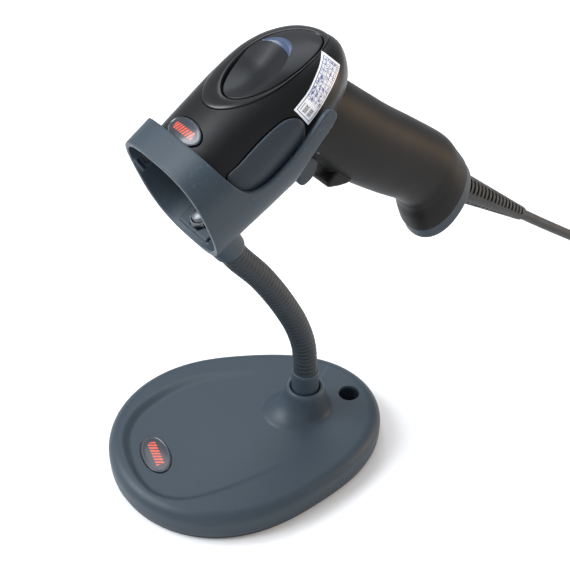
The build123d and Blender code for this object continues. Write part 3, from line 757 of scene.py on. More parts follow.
def make_base(count=480):
    bearing, rim = rim_from_neck(count)
    outward = np.stack([np.sin(bearing), -np.cos(bearing)], 1)
    forward = np.maximum(np.cos(bearing), 0) ** 1.8

    def ring(radius, height):
        plan = outward * radius[:, None] + np.array([0, NECK_Y])
        return np.column_stack([plan, np.full(count, height)])

    def deck_ring(radius, raised=0.0):
        plan = outward * radius[:, None] + np.array([0, NECK_Y])
        return np.column_stack([plan, deck_height(plan, rim - radius) + raised])

    rows = [ring(radius + extra * forward, z) for z, radius, extra in BOSS_PROFILE]
    boss_foot = 14.2 + 8.0 * forward
    for t in np.concatenate([[0.0, 0.004], np.linspace(0.012, 1, 120)]):
        radius = boss_foot + (rim - DECK_MARGIN - boss_foot) * t
        rows.append(deck_ring(radius, raised=0.12 if t == 0.0 else 0.0))
    for a in np.linspace(0, math.pi / 2, 16)[1:]:
        rows.append(deck_ring(rim - RIM_WIDTH * (1 - math.sin(a))))
    rows += [ring(rim - inset, z) for z, inset in WALL_PROFILE]
    rows.append(ring(np.full(count, CEILING_RADIUS), CEILING_HEIGHT))
    shell = torus("base_cover_shell", rows, local=False)

    well = [(5.0, WELL_RADIUS), (14.9, WELL_RADIUS), (15.4, 5.35), (15.75, 5.6), (20, 9.0)]
    boolean(shell, lathe("well", well, (0, WELL_Y, 0), (0, 0, 1), 72, local=False))
    # badge seat: height and radii across and along, flaring upwards
    seat = [(12.2, 13.15, 7.15), (13.05, 13.15, 7.15), (13.5, 13.45, 7.4), (14.1, 14.0, 8.0),
            (17, 16.6, 10.6)]
    seat_rows = [np.column_stack([ellipse(BASE_BADGE, radii, 96), np.full(96, z)])
                 for z, *radii in seat]
    boolean(shell, tube("seat", seat_rows, local=False))
    sharpen(shell, 34)
    # wall around the well, below the deck
    liner = [(3.8, WELL_RADIUS), (3.8, 6.6), (13.6, 6.6), (13.9, 6.2), (13.9, WELL_RADIUS)]
    liner = lathe("base_well_liner", liner, (0, WELL_Y, 0), (0, 0, 1), 72, local=False,
                  sharp=40, closed=True)
    liner.parent = shell
    return shell, liner


def oval_badge(name, centre, radii, rings, count, lift, local=True):
    """rings: share of the outline and height; lift(plan, height) puts a ring in place"""
    rows, uvs = [], []
    for share, height in rings:
        plan = ellipse(centre, (radii[0] * share, radii[1] * share), count)
        rows.append(lift(plan, height))
        uvs.append(ellipse((0, 0), (share, share), count))
    return tube(name, rows, local, uv=np.vstack(uvs))


def lift_base_badge(plan, height):
    return np.column_stack([plan, np.full(len(plan), BASE_BADGE_TOP + height)])


base, well_liner = make_base()
piece(base, "slate", "base", "base_cover")
dress(well_liner, "slate_dark")
BASE_BADGE_RINGS = [
    (1.0, -1.3), (1.0, -0.32), (0.985, -0.12), (0.955, 0.0), (0.93, -0.02), (0.915, -0.22),
    (0.90, -0.24), (0.8, -0.14), (0.6, -0.05), (0.35, 0.0), (0.1, 0.02)]
base_badge = oval_badge("base_badge_oval", BASE_BADGE, (12.9, 6.9), BASE_BADGE_RINGS, 128,
                        lift_base_badge, local=False)
piece(base_badge, "badge", "base", "base_badge")

# ------------------------------------------------------------------ gooseneck
# joints between the neck bodies, from the base up (world x, y, z)
JOINTS = np.array([
    (0.059, 27.842, 41.697), (0.315, 26.815, 57.354), (1.351, 22.663, 72.517),
    (2.907, 16.42, 86.835), (4.705, 9.208, 100.773), (6.703, 1.196, 114.125),
    (9.23, -8.94, 128.083)])
RIB_PITCH = 2.62

NECK_TOP = to_world((0, STUD_Y, BOSS_Z))
NECK_CURVE = catmull(np.vstack([
    [0, NECK_Y, 28.0], [0, 28.02, 35.0], JOINTS,
    NECK_TOP - 0.02 * AXIS_Z, NECK_TOP + 6 * AXIS_Z]), 60)
NECK_RUN = run_lengths(NECK_CURVE)


def neck_point(run):
    return np.stack([np.interp(run, NECK_RUN, NECK_CURVE[:, k]) for k in range(3)], -1)


def run_of(point):
    return NECK_RUN[np.argmin(np.linalg.norm(NECK_CURVE - point, axis=1))]


JOINT_RUNS = [run_of(p) for p in JOINTS]
NECK_START = run_of(np.array([0, 27.9, 40.2]))
NECK_END = run_of(NECK_TOP) + 1.5


def neck_radius(run):
    """ribbed, and slightly thicker past the sixth joint"""
    wave = 0.5 - 0.5 * np.cos(2 * math.pi * ((run - NECK_START) / RIB_PITCH))
    radius = 5.86 + 0.23 * np.clip(wave, 0, 1) ** 0.7
    return radius + 0.10 * np.clip((run - JOINT_RUNS[5]) / 20, 0, 1)


def make_sleeve(name, start, end):
    runs = np.arange(start, end + 1e-6, RIB_PITCH / 10)
    if runs[-1] < end - 1e-3:
        runs = np.append(runs, end)
    centres = neck_point(runs)
    along = neck_point(runs + 0.4) - neck_point(runs - 0.4)
    along /= np.linalg.norm(along, axis=1, keepdims=True)
    side = np.tile(AXIS_X, (len(runs), 1))
    side = side - (side * along).sum(1)[:, None] * along
    side /= np.linalg.norm(side, axis=1, keepdims=True)
    up = np.cross(along, side)
    turn = angles(72)
    cos, sin = np.cos(turn)[:, None], np.sin(turn)[:, None]
    rows = [centres[i] + neck_radius(run) * (cos * side[i] + sin * up[i])
            for i, run in enumerate(runs)]
    return tube(name, rows, local=False, sharp=60)


# the pieces meet in the rib groove nearest to halfway between two joints
sleeve_ends = [NECK_START]
for here, there in zip(JOINT_RUNS, JOINT_RUNS[1:]):
    ribs = round((0.5 * (here + there) - NECK_START) / RIB_PITCH)
    sleeve_ends.append(NECK_START + ribs * RIB_PITCH)
sleeve_ends.append(NECK_END)
for i, joint in enumerate(JOINT_RUNS):
    start, end = sleeve_ends[i], sleeve_ends[i + 1]
    sleeve = make_sleeve(f"neck_sleeve_visual_{i + 1}", start, end)
    dress(sleeve, "neck")
    if i < 6:
        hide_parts(f"neck_core_{i + 1}", f"neck_sleeve_{i + 1}")
    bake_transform(sleeve)

FERRULE_PROFILE = [(8.4, 3.0), (8.4, 6.9), (28.0, 7.0), (39.0, 6.75), (40.4, 6.7),
                   (40.9, 6.5), (41.1, 6.1), (41.0, 5.0)]
ferrule = lathe("neck_ferrule_tube", FERRULE_PROFILE, (0, NECK_Y, 0), (0, 0, 1), 72,
                local=False, sharp=50)
piece(ferrule, "slate", "base", "neck_ferrule")

# ------------------------------------------------------------------ cup
# y, half width, top, middle, bottom
CUP_STATIONS = np.array([
    (8.0, 27.9, 206.2, 184.5, 158.5), (30.0, 28.3, 206.3, 184.5, 158.5),
    (50.0, 29.6, 206.4, 184.5, 158.5), (70.0, 30.5, 206.6, 184.5, 158.5),
    (112.0, 30.8, 206.6, 184.5, 158.5)])
CUP_POWER = 2.8
CUP_WALL = 2.2
# rear edge of the cup in side view (y, z), from the floor back and up to the top
CUP_EDGE = [
    (54.0, 156.4), (58.0, 159.2), (62.0, 163.0), (70.0, 170.6), (80.0, 175.4), (89.0, 178.4),
    (93.2, 181.2), (92.9, 185.0), (89.6, 186.2), (81.0, 183.8), (70.8, 181.3), (58.0, 180.0),
    (50.6, 181.6), (46.8, 184.6), (44.9, 189.5), (43.7, 196.0), (43.2, 202.0), (43.0, 208.5)]
CUP_FRONT = [(30.7, 208.5), (20.8, 156.4)]
NUT_PAD = [(23.9, 159.7), (24.2, 163.0), (37.4, 163.0), (38.0, 159.7)]
# z, radius
CUP_BOSS = [(137.6, 5.0), (137.6, 6.7), (137.9, 7.1), (138.6, 7.35), (145.0, 7.85),
            (152.0, 8.5), (157.0, 9.0), (159.5, 9.6), (160.3, 9.6), (160.5, 9.4)]


def cup_tube(name, offset, start, end):
    stations = np.linspace(start, end, 36)
    columns = [np.interp(stations, CUP_STATIONS[:, 0], CUP_STATIONS[:, k]) for k in range(1, 5)]
    return tube(name, [section_ring(*section, CUP_POWER, CUP_POWER, 140, offset)
                       for section in zip(stations, *columns)])


def make_cup():
    cup = cup_tube("cup_shell_smooth", 0.0, 10.0, 110.0)
    boolean(cup, cup_tube("hollow", -CUP_WALL, 6.0, 114.0))
    boolean(cup, side_prism(np.vstack([CUP_FRONT, catmull(CUP_EDGE, 5)]), 40), "INTERSECT")
    boolean(cup, side_prism(NUT_PAD, 10.4), "UNION")
    boss = [(z - BOSS_Z, radius) for z, radius in CUP_BOSS]
    boolean(cup, lathe("boss", boss, (0, STUD_Y, BOSS_Z), (0, 0, 1)), "UNION")
    # a raised frame with a stepped pocket on each inner wall
    for side in (-1, 1):
        boolean(cup, side_box(side, (24.9, 27.2), (27.6, 39.4), (180.9, 189.3)), "UNION")
        boolean(cup, side_box(side, (22, 25.9), (28.7, 38.3), (182.0, 188.2)))
        boolean(cup, side_box(side, (22, 27.4), (31.0, 37.6), (182.8, 187.5)))
    boolean(cup, lathe("bore", [(0, 4.1), (60, 4.1)], (0, STUD_Y, 130.0), (0, 0, 1), 48))
    corner = 6.1            # hexagonal seat of the nut
    hexagon = [(corner * math.cos(k * math.pi / 3), STUD_Y + corner * math.sin(k * math.pi / 3))
               for k in range(6)]
    boolean(cup, prism([(x, y, 160.9) for x, y in hexagon], [(x, y, 180.0) for x, y in hexagon]))
    # remeshing and smoothing softens every edge of the moulding
    remesh = cup.modifiers.new("r", "REMESH")
    remesh.mode = "VOXEL"
    remesh.voxel_size = 0.42 * MM
    remesh.use_smooth_shade = True
    smooth = cup.modifiers.new("s", "SMOOTH")
    smooth.iterations = 4
    smooth.factor = 0.5
    bake(cup)
    cup.data.shade_smooth()
    return cup


def make_stud():
    """plain below the cup floor, threaded above, tapered at the top"""
    pitch, thread_from, taper_from = 1.25, 160.5, 166.0
    turn = angles(48)
    rows = []
    for i in range(250):
        z = 139.0 + i * 27.8 / 249
        phase = (z / pitch - turn / (2 * math.pi)) % 1.0
        if z > thread_from:
            radius = 3.62 + 0.36 * (1 - np.abs(2 * phase - 1))
        else:
            radius = np.full(48, 3.9)
        radius = np.minimum(radius, 3.98 - np.clip(z - taper_from, 0, 9) * 0.9)
        rows.append(np.column_stack([radius * np.cos(turn), STUD_Y + radius * np.sin(turn),
                                     np.full(48, z)]))
    return tube("neck_top_stud", rows, sharp=70)


def make_nut():
    low, high, flats, hole = 160.95, 165.45, 10.0, 4.05
    count = 144
    turn = angles(count)
    third = math.pi / 3
    hexagon = flats / 2 / np.cos((turn + math.pi / 6) % third - math.pi / 6)
    # z and the largest radius, which rounds off the corners at both ends
    outside = [(low, flats / 2 * 1.02), (low + 0.5, 99), (high - 0.9, 99),
               (high - 0.45, flats / 2 * 1.08), (high, flats / 2 * 0.97)]
    inside = [(high, hole + 0.5), (high - 0.45, hole), (low + 0.4, hole), (low, hole + 0.45)]
    rings = [(z, np.minimum(hexagon, limit)) for z, limit in outside] + inside
    rows = [np.column_stack([radius * np.cos(turn), STUD_Y + radius * np.sin(turn),
                             np.full(count, z)]) for z, radius in rings]
    return torus("cup_hex_nut", rows, sharp=30)


piece(make_cup(), "slate", "cup", "cup_shell")
piece(make_stud(), "steel", "cup", "neck_top_fitting")
piece(make_nut(), "steel", "cup", "cup_nut")

# ------------------------------------------------------------------ head surface
# y, half width, top, middle, bottom, power of the lower half
HEAD_STATIONS = np.array([
    (36.0, 25.1, 202.7, 182.0, 161.0, 2.6), (38.0, 25.2, 202.8, 182.0, 161.0, 2.6),
    (45.0, 25.6, 203.2, 182.0, 161.0, 2.6), (60.0, 26.2, 203.7, 182.5, 161.0, 2.5),
    (75.0, 26.6, 203.9, 183.5, 160.5, 2.2), (88.0, 25.9, 203.2, 183.5, 160.5, 1.9),
    (98.0, 24.0, 201.0, 183.5, 160.5, 1.7), (106.0, 20.6, 197.4, 184.0, 161.5, 1.6),
    (112.0, 15.8, 193.6, 184.5, 164.0, 1.6), (116.0, 10.2, 189.6, 184.0, 168.0, 1.7),
    (118.3, 5.6, 185.8, 182.0, 173.0, 1.8), (119.1, 3.0, 183.6, 180.8, 176.4, 1.9),
    (119.4, 1.0, 181.9, 180.4, 178.8, 2.0)])
HEAD_POWER = 2.3        # power of the upper half
HEAD_COUNT = 220        # points round a section
HEAD_FRONT = 41.15
HEAD_TAIL = 119.4
SEAM_Z, SEAM_HALF_GAP = 177.6, 0.13


def head_sections(y):
    knots = HEAD_STATIONS[:, 0]
    y = np.clip(y, knots[0], knots[-1])
    return [monotone_cubic(knots, HEAD_STATIONS[:, k], y) for k in range(1, 6)]


def head_rings(stations, offsets):
    offsets = np.broadcast_to(offsets, np.shape(stations))
    return [section_ring(*sizes, HEAD_POWER, lower_power, HEAD_COUNT, offset)
            for *sizes, lower_power, offset in zip(stations, *head_sections(stations), offsets)]


def head_skin(tail, offset, steps):
    """rings from the front to the tail, closer together towards the tail"""
    t = np.linspace(0, 1, steps)
    return head_rings(HEAD_FRONT + (tail - HEAD_FRONT) * (1 - (1 - t) ** 1.7), offset)


def top_surface(plan):
    """plan points (x, y) on the upper half of the head"""
    x, y = plan[:, 0], plan[:, 1]
    half_width, top, middle, _, _ = head_sections(y)
    rise = np.clip(1 - (np.abs(x) / half_width) ** HEAD_POWER, 1e-6, 1) ** (1 / HEAD_POWER)
    return np.column_stack([x, y, middle + (top - middle) * rise])


def side_surface(plan, side=1.0):
    """side-view points (y, z) on the left (side 1) or right (side -1) flank"""
    y, z = plan[:, 0], plan[:, 1]
    half_width, top, middle, bottom, lower_power = head_sections(y)
    above = z >= middle
    height = np.where(above, (z - middle) / (top - middle), (middle - z) / (middle - bottom))
    power = np.where(above, HEAD_POWER, lower_power)
    x = half_width * np.clip(1 - np.clip(height, 0, 0.999) ** power, 1e-6, 1) ** (1 / power)
    return np.column_stack([side * x, y, z])


def with_normal(surface, plan):
    """points on the surface and their outward normals"""
    step = 0.06
    points = surface(plan)
    along_first = surface(plan + [step, 0]) - surface(plan - [step, 0])
    along_second = surface(plan + [0, step]) - surface(plan - [0, step])
    normals = np.cross(along_first, along_second)
    normals /= np.linalg.norm(normals, axis=1, keepdims=True) + 1e-12
    inside = np.array([0, 80.0, 182.0])
    outward = np.sign(((points - inside) * normals * [1, 0.2, 1]).sum(1))
    return points, normals * outward[:, None]


def off_surface(surface, plan, offset):
    points, normals = with_normal(surface, plan)
    return points + normals * np.reshape(offset, (-1, 1))


def lowered(offset, amount):
    return lambda plan: offset(plan) - amount


def slab(name, outline, centre, surface, rings):
    """closed pad on a surface; rings: share of the outline, offset or offset function"""
    rows = []
    for share, offset in rings:
        plan = scaled(outline, np.asarray(centre, float), share)
        rows.append(off_surface(surface, plan, offset(plan) if callable(offset) else offset))
    return tube(name, rows)


# ------------------------------------------------------------------ housing and side pads
def make_housing():
    """outer and inner skins as one closed shell, split at the seam: upper, lower"""
    outer = head_skin(HEAD_TAIL, 0.0, steps=150)
    inner = head_skin(115.2, -2.3, steps=50)
    points = np.vstack([*outer, *inner, np.mean(outer[-1], 0), np.mean(inner[-1], 0)])
    inner_start = len(outer) * HEAD_COUNT
    end = inner_start + len(inner) * HEAD_COUNT     # here begin the two tail centres
    outer_last, inner_last = inner_start - HEAD_COUNT, end - HEAD_COUNT
    faces = ring_faces(len(outer), HEAD_COUNT)
    faces += [tuple(i + inner_start for i in f) for f in ring_faces(len(inner), HEAD_COUNT)]
    for j in range(HEAD_COUNT):
        k = (j + 1) % HEAD_COUNT
        faces.append((j, k, inner_start + k, inner_start + j))
        faces.append((outer_last + j, outer_last + k, end))
        faces.append((inner_last + j, inner_last + k, end + 1))
    shell = make_mesh("head_shell", points, faces)
    return split(shell, AXIS_Z, SEAM_Z, SEAM_HALF_GAP,
                 ("upper_housing_shell", "lower_housing_shell"))


# two ovals on top, in plan: the trim's outer edge and the dish inside it
OVAL_CENTRE = (-1.2, 88.8)
DISH_CENTRE = (1.9, 91.0)
OVAL = ellipse(OVAL_CENTRE, (18.3, 28.4), 200)
DISH = ellipse(DISH_CENTRE, (14.2, 23.2), 200)
HEAD_BADGE = (-0.9, 47.2)
OVAL_CUT = [(1.0, -2.4), (1.0, -1.0), (1.0, -0.3), (1.006, 0.05), (1.03, 0.8), (1.05, 6.0),
            (0.5, 8.0), (0.1, 8.0)]
# deeper than the wall in the middle
OVAL_DEEP_CUT = [(0.05, -9.0), (0.5, -9.0), (1.0, -7.0), (1.0, 3.0), (0.5, 5.0), (0.1, 5.0)]
BADGE_CUT = [(0.1, -1.1), (0.6, -1.1), (1.0, -1.1), (1.0, -0.35), (1.02, 0.0), (1.08, 0.9),
             (0.5, 3.0), (0.1, 3.0)]
PAD_CUT = [(0.05, -1.15), (0.5, -1.15), (1.0, -1.15), (1.0, -0.2), (1.012, 0.05), (1.05, 1.2),
           (1.05, 4.0), (0.5, 6.0), (0.05, 6.0)]

upper, lower = make_housing()
for share, cut_rings in ((1.004, OVAL_CUT), (0.96, OVAL_DEEP_CUT)):
    boolean(upper, slab("cutter", scaled(OVAL, OVAL_CENTRE, share), OVAL_CENTRE, top_surface,
                        cut_rings))
boolean(upper, slab("cutter", ellipse(HEAD_BADGE, (10.9, 5.65), 96), HEAD_BADGE, top_surface,
                    BADGE_CUT))

# side pad outline (y, z)
PAD = resample(catmull([
    (44.4, 172.6), (44.4, 183.0), (44.8, 192.0), (52.5, 193.0), (61.2, 193.7), (68.0, 194.0),
    (73.8, 193.8), (77.4, 192.9), (80.0, 191.1), (81.2, 188.6), (80.8, 185.9), (79.0, 183.0),
    (76.0, 180.0), (72.0, 177.4), (66.0, 174.0), (56.0, 172.6)], 10, True), 200)
PAD_CENTRE = np.array([62.0, 184.0])
PAD_GAP = 0.55
PAD_EDGE = 0.7          # radius of the pad's rounded edge
PAD_HALF = 10.0         # typical half height, turns the edge radius into a share
RIDGE_START, RIDGE_END = np.array([44.0, 183.0]), np.array([81.0, 189.6])


def pad_top(plan):
    """height of the pad: highest along the ridge, falling away on both sides"""
    along = RIDGE_END - RIDGE_START
    normal = np.array([-along[1], along[0]]) / np.linalg.norm(along)
    distance = (plan - RIDGE_START) @ normal
    above = np.clip(distance, 0, 20)
    below = np.clip(-distance, 0, 20)
    return 1.25 - 0.085 * above - 0.012 * below - 0.004 * below ** 2


def pad_rings():
    rings = [(1.0, -1.0)]
    for a in np.linspace(0, math.pi / 2, 7):
        rings.append((1.0 - PAD_EDGE * (1 - math.cos(a)) / PAD_HALF,
                      lowered(pad_top, PAD_EDGE * (1 - math.sin(a)))))
    shares = (0.88, 0.8, 0.72, 0.64, 0.56, 0.48, 0.4, 0.32, 0.24, 0.16, 0.08, 0.03)
    return rings + [(share, pad_top) for share in shares]


PAD_REACH = np.linalg.norm(PAD - PAD_CENTRE, axis=1)
PAD_OPENING = scaled(PAD, PAD_CENTRE, (1 + PAD_GAP / PAD_REACH)[:, None])
for word, side in (("left", 1.0), ("right", -1.0)):
    def flank(plan, side=side):
        return side_surface(plan, side)

    for half in (upper, lower):
        boolean(half, slab("cutter", PAD_OPENING, PAD_CENTRE, flank, PAD_CUT))
    pad = slab(f"side_pad_{word}", PAD, PAD_CENTRE, flank, pad_rings())
    sharpen(pad, 50)
    piece(pad, "slate_dark", "scanner", f"side_grip_{word}")

for half, node in ((upper, "upper_housing"), (lower, "lower_housing")):
    sharpen(half, 32)
    piece(half, "black", "scanner", node)

# ------------------------------------------------------------------ top trim, dish and lens
# way from the outer oval to the dish oval (0 to 1), offset off the surface
TRIM_PROFILE = [
    (0.0, -1.6), (0.0, -0.3), (0.012, 0.05), (0.04, 0.22), (0.09, 0.34), (0.2, 0.42),
    (0.35, 0.40), (0.5, 0.32), (0.65, 0.2), (0.8, 0.02), (0.92, -0.22), (0.985, -0.5),
    (1.0, -0.9), (1.0, -3.4)]
trim = torus("top_trim_ring", [off_surface(top_surface, OVAL * (1 - way) + DISH * way, offset)
                               for way, offset in TRIM_PROFILE], sharp=55)
piece(trim, "gloss", "scanner", "top_trim")


def dish_offset(plan):
    """depth of the dish below the head surface, with a slight lift at the rear"""
    distance = ((plan[:, 0] + 0.4) / 12.6) ** 2 + ((plan[:, 1] - 84.0) / 16.6) ** 2
    bowl = 4.6 * np.clip(1 - distance, 0, 1) ** 1.15
    rear = 0.35 * np.clip((plan[:, 1] - 98) / 10, 0, 1)
    return -0.62 - bowl + rear


dish_rings = [(0.04, -8.5), (0.5, -8.0), (0.985, -4.0)]
dish_rings += [(share, lowered(dish_offset, drop))
               for share, drop in ((0.985, 0.7), (0.982, 0.25), (0.972, 0.05))]
dish_rings += [(share, dish_offset) for share in (0.955, *np.linspace(0.93, 0.02, 60))]
dish = slab("top_dish_bowl", DISH, DISH_CENTRE, top_surface, dish_rings)
piece(dish, "dish", "scanner", "top_dish")


def make_lens():
    """crescent on the rear slope of the dish"""
    along = np.linspace(-1, 1, 61)
    across = np.linspace(0, 1, 9)
    front = 98.6 - 2.4 * np.abs(along) ** 2.2
    rear = 102.6 - 5.6 * np.abs(along) ** 2.3
    plan = np.vstack([np.column_stack([-0.9 + 9.2 * along, front * (1 - t) + rear * t])
                      for t in across])
    points, normals = with_normal(top_surface, plan)
    seat = dish_offset(plan)
    dome = np.repeat(0.28 * np.sin(math.pi * across), len(along)) + 0.02
    return sheet("status_lens_crescent",
                 points + normals * seat[:, None] + normals * dome[:, None],
                 points + normals * (seat - 0.9)[:, None], len(across), len(along))


piece(make_lens(), "lens", "scanner", "status_lens")

# ------------------------------------------------------------------ head badge, label, bezel
HEAD_BADGE_RINGS = [
    (1.0, -1.0), (1.0, 0.15), (0.985, 0.4), (0.955, 0.52), (0.925, 0.48), (0.905, 0.22),
    (0.89, 0.2), (0.75, 0.3), (0.5, 0.38), (0.25, 0.42), (0.06, 0.43)]
head_badge = oval_badge("head_badge_oval", HEAD_BADGE, (10.4, 5.2), HEAD_BADGE_RINGS, 96,
                        lambda plan, height: off_surface(top_surface, plan, height))
piece(head_badge, "badge", "scanner", "head_badge")

# edges of the label in side view (y, z)
LABEL_TOP = [(81.6, 193.6), (85.6, 193.7), (91.3, 194.0), (99.0, 194.7), (107.2, 194.6)]
LABEL_BOTTOM = [(82.4, 184.9), (87.0, 185.3), (92.2, 186.1), (98.8, 187.0), (108.8, 187.6)]


def make_label(rows=17, cols=61):
    """thin sheet lying on the left flank"""
    top, bottom = (resample(catmull(edge, 16), cols, False) for edge in (LABEL_TOP, LABEL_BOTTOM))
    plan = np.vstack([top * (1 - t) + bottom * t for t in np.linspace(0, 1, rows)])
    uv = np.array([(j / (cols - 1), i / (rows - 1)) for i in range(rows) for j in range(cols)])
    upper_side, lower_side = (off_surface(side_surface, plan, lift) for lift in (0.22, 0.02))
    return sheet("rating_label_sheet", upper_side, lower_side, rows, cols,
                 np.vstack([uv, uv]), sharp=40)


piece(make_label(), "label", "scanner", "rating_label")


def make_bezel():
    """rounded front ring with a squarish opening"""
    # y, offset from the head section
    outside = np.array([(40.95, 0.0), (39.6, 0.0), (38.9, -0.25), (38.4, -0.7), (38.1, -1.3),
                        (38.0, -2.0)])
    # y, half width, half height
    opening = [(38.0, 19.6, 9.9), (38.2, 19.2, 9.5), (40.6, 18.0, 8.4), (40.95, 17.9, 8.3)]
    opening_z, opening_power = 183.0, 0.28
    rows = head_rings(outside[:, 0], outside[:, 1])
    turn = angles(HEAD_COUNT)
    across = signed_power(np.cos(turn), opening_power)
    up = signed_power(np.sin(turn), opening_power)
    for y, half_width, half_height in opening:
        rows.append(np.column_stack([half_width * across, np.full(HEAD_COUNT, y),
                                     opening_z + half_height * up]))
    return torus("nose_bezel_ring", rows, sharp=40)


piece(make_bezel(), "black", "scanner", "nose_bezel")

# ------------------------------------------------------------------ handle
# from the head down: y and z of the front edge, depth, half width
HANDLE_STATIONS = np.array([
    (72.5, 165.6, 36.6, 15.3), (78.0, 153.0, 37.4, 15.4), (84.0, 133.6, 38.6, 15.4),
    (90.9, 115.8, 38.4, 15.2), (99.2, 97.2, 38.1, 15.0), (107.6, 79.8, 37.0, 15.3),
    (108.4, 71.8, 38.6, 15.9), (106.8, 64.5, 41.2, 16.6), (105.6, 57.0, 43.4, 17.2),
    (104.8, 48.4, 45.4, 17.5), (105.2, 40.0, 45.6, 17.4), (106.6, 30.0, 44.6, 17.0)])
DEPTH_AXIS = np.array([0.921, 0.39])        # front to back of a section, in y and z
FOOT_POINT = np.array([125.0, 56.15])       # the foot plane, in y and z
FOOT_NORMAL = unit(np.array([0.352, -0.936]))
FOOT_UP = np.array([0, -FOOT_NORMAL[0], -FOOT_NORMAL[1]])
CAP_HEIGHT = 7.6
CAP_INSET, CAP_EDGE = 0.75, 1.7


def handle_surface(count=120):
    turn = angles(count)
    power = 2 / 2.15
    back, across = signed_power(np.cos(turn), power), signed_power(np.sin(turn), power)
    rows = []
    for front_y, front_z, depth, half_width in catmull(HANDLE_STATIONS, 24):
        y, z = np.array([front_y, front_z]) + DEPTH_AXIS * depth / 2
        reach = depth / 2 * back
        rows.append(np.column_stack([half_width * across, y + DEPTH_AXIS[0] * reach,
                                     z + DEPTH_AXIS[1] * reach]))
    return np.array(rows)


HANDLE = handle_surface()
HANDLE_COLUMNS = np.arange(HANDLE.shape[1])


def handle_cut(target):
    """ring where the handle meets a plane at this distance from the foot (negative is above),
    with the fractional row number of each of its points"""
    distance = ((HANDLE[..., 1] - FOOT_POINT[0]) * FOOT_NORMAL[0]
                + (HANDLE[..., 2] - FOOT_POINT[1]) * FOOT_NORMAL[1])
    ring = np.zeros((len(HANDLE_COLUMNS), 3))
    places = np.zeros(len(HANDLE_COLUMNS))
    for j in HANDLE_COLUMNS:
        k = np.argmax(distance[:, j] > target)
        before, after = distance[k - 1, j], distance[k, j]
        t = (target - before) / (after - before)
        ring[j] = HANDLE[k - 1, j] * (1 - t) + HANDLE[k, j] * t
        places[j] = k - 1 + t
    return ring, places


def handle_rows(start, end, count):
    """rings between two sets of row numbers"""
    rows = []
    for share in np.linspace(0, 1, count):
        place = start + (end - start) * share
        i = np.clip(place.astype(int), 0, len(HANDLE) - 2)
        t = (place - i)[:, None]
        rows.append(HANDLE[i, HANDLE_COLUMNS] * (1 - t) + HANDLE[i + 1, HANDLE_COLUMNS] * t)
    return rows


def shrink(ring, inset):
    inward = ring - ring.mean(0)
    return ring - inward / np.linalg.norm(inward, axis=1, keepdims=True) * inset


TRIGGER_POCKET = [
    (58, 133.4), (84.2, 133.4), (86.6, 134.4), (88.8, 137.4), (90.6, 142.0), (92.0, 148.0),
    (92.6, 158.5), (58, 158.5)]
POCKET_LIP = [
    (80.4, 129.4), (80.3, 130.9), (81.6, 132.3), (84.0, 133.1), (88.0, 133.6), (92.5, 132.8),
    (94.4, 128.0), (93.0, 123.4), (89.4, 122.4), (85.6, 124.6), (82.6, 127.2)]
SCREW_PLACES = ((106.0, 118.0), (116.5, 66.0))      # y, z
SCREW_WELL = [(0, 2.7), (15.2, 2.7), (16.2, 3.1), (20.0, 7.0)]


def make_handle():
    """grip above the end cap, with trigger pocket, lip and screw wells: left, right"""
    end, places = handle_cut(-CAP_HEIGHT - 0.1)
    rows = handle_rows(np.zeros(len(HANDLE_COLUMNS)), places, 230)
    rows = [shrink(rows[0], 8.0), shrink(rows[0], 2.0)] + rows
    for drop, inset in ((0.15, 0.12), (0.22, 0.4), (0.22, 3.0), (0.22, 10.0)):
        rows.append(shrink(end - FOOT_UP * drop, inset))
    body = tube("handle_body", rows)
    boolean(body, puck("pocket", TRIGGER_POCKET, half_width=8.3, rim=1.2, sharp=40))
    boolean(body, puck("lip", catmull(POCKET_LIP, 8, True), half_width=8.9, rim=1.5,
                       count=120, steps=9), "UNION")
    sharpen(body, 36)
    left, right = split(body, AXIS_X, 0.0, 0.05, ("handle_half_left", "handle_half_right"))
    for y, z in SCREW_PLACES:
        boolean(right, lathe("well", SCREW_WELL, (-11.35, y, z), (-1, 0, 0), 48))
    return left, right


for half, node in zip(make_handle(), ("handle_left", "handle_right")):
    sharpen(half, 36)
    piece(half, "handle", "scanner", node)

# cable line: leaves the foot of the handle
CABLE_START = np.array([0, 134.9, 59.9])
CABLE_AXIS = unit(np.array([0, 0.3998, -0.9166]))
CABLE_X = np.array([1.0, 0, 0])
CABLE_Y = np.cross(CABLE_AXIS, CABLE_X)


def make_end_cap():
    """a little slimmer than the grip above it, holed for the strain relief"""
    top, top_places = handle_cut(-CAP_HEIGHT + 0.12)
    bottom, bottom_places = handle_cut(-CAP_EDGE)
    rows = [shrink(top, inset) for inset in (16.0, 6.0, 1.3, 0.9)]
    rows += [shrink(ring, CAP_INSET) for ring in handle_rows(top_places, bottom_places, 14)]
    for a in np.linspace(0, math.pi / 2, 9)[1:]:
        ring = shrink(bottom, CAP_INSET + CAP_EDGE * (1 - math.cos(a)))
        rows.append(ring - FOOT_UP * CAP_EDGE * math.sin(a))
    last = rows[-1]
    rows += [shrink(last, inset) for inset in (1.5, 4.0, 8.0, 12.0)]
    cap = tube("end_cap_shell", rows, sharp=45)
    boolean(cap, lathe("hole", [(0, 5.4), (60, 5.4)], CABLE_START - CABLE_AXIS * 30,
                       CABLE_AXIS, 48))
    sharpen(cap, 40)
    return cap


piece(make_end_cap(), "slate", "scanner", "end_cap")

TRIGGER = [
    (87.2, 151.9), (86.4, 155.9), (83.4, 156.9), (78.6, 154.7), (74.6, 151.1), (71.7, 146.5),
    (70.8, 142.9), (72.4, 140.2), (77.4, 140.1), (81.8, 142.9), (85.2, 147.1)]
trigger = puck("trigger_pad", catmull(TRIGGER, 10, True), half_width=7.55, rim=1.5,
               count=140, steps=8)
piece(trigger, "slate_dark", "trigger", "trigger")

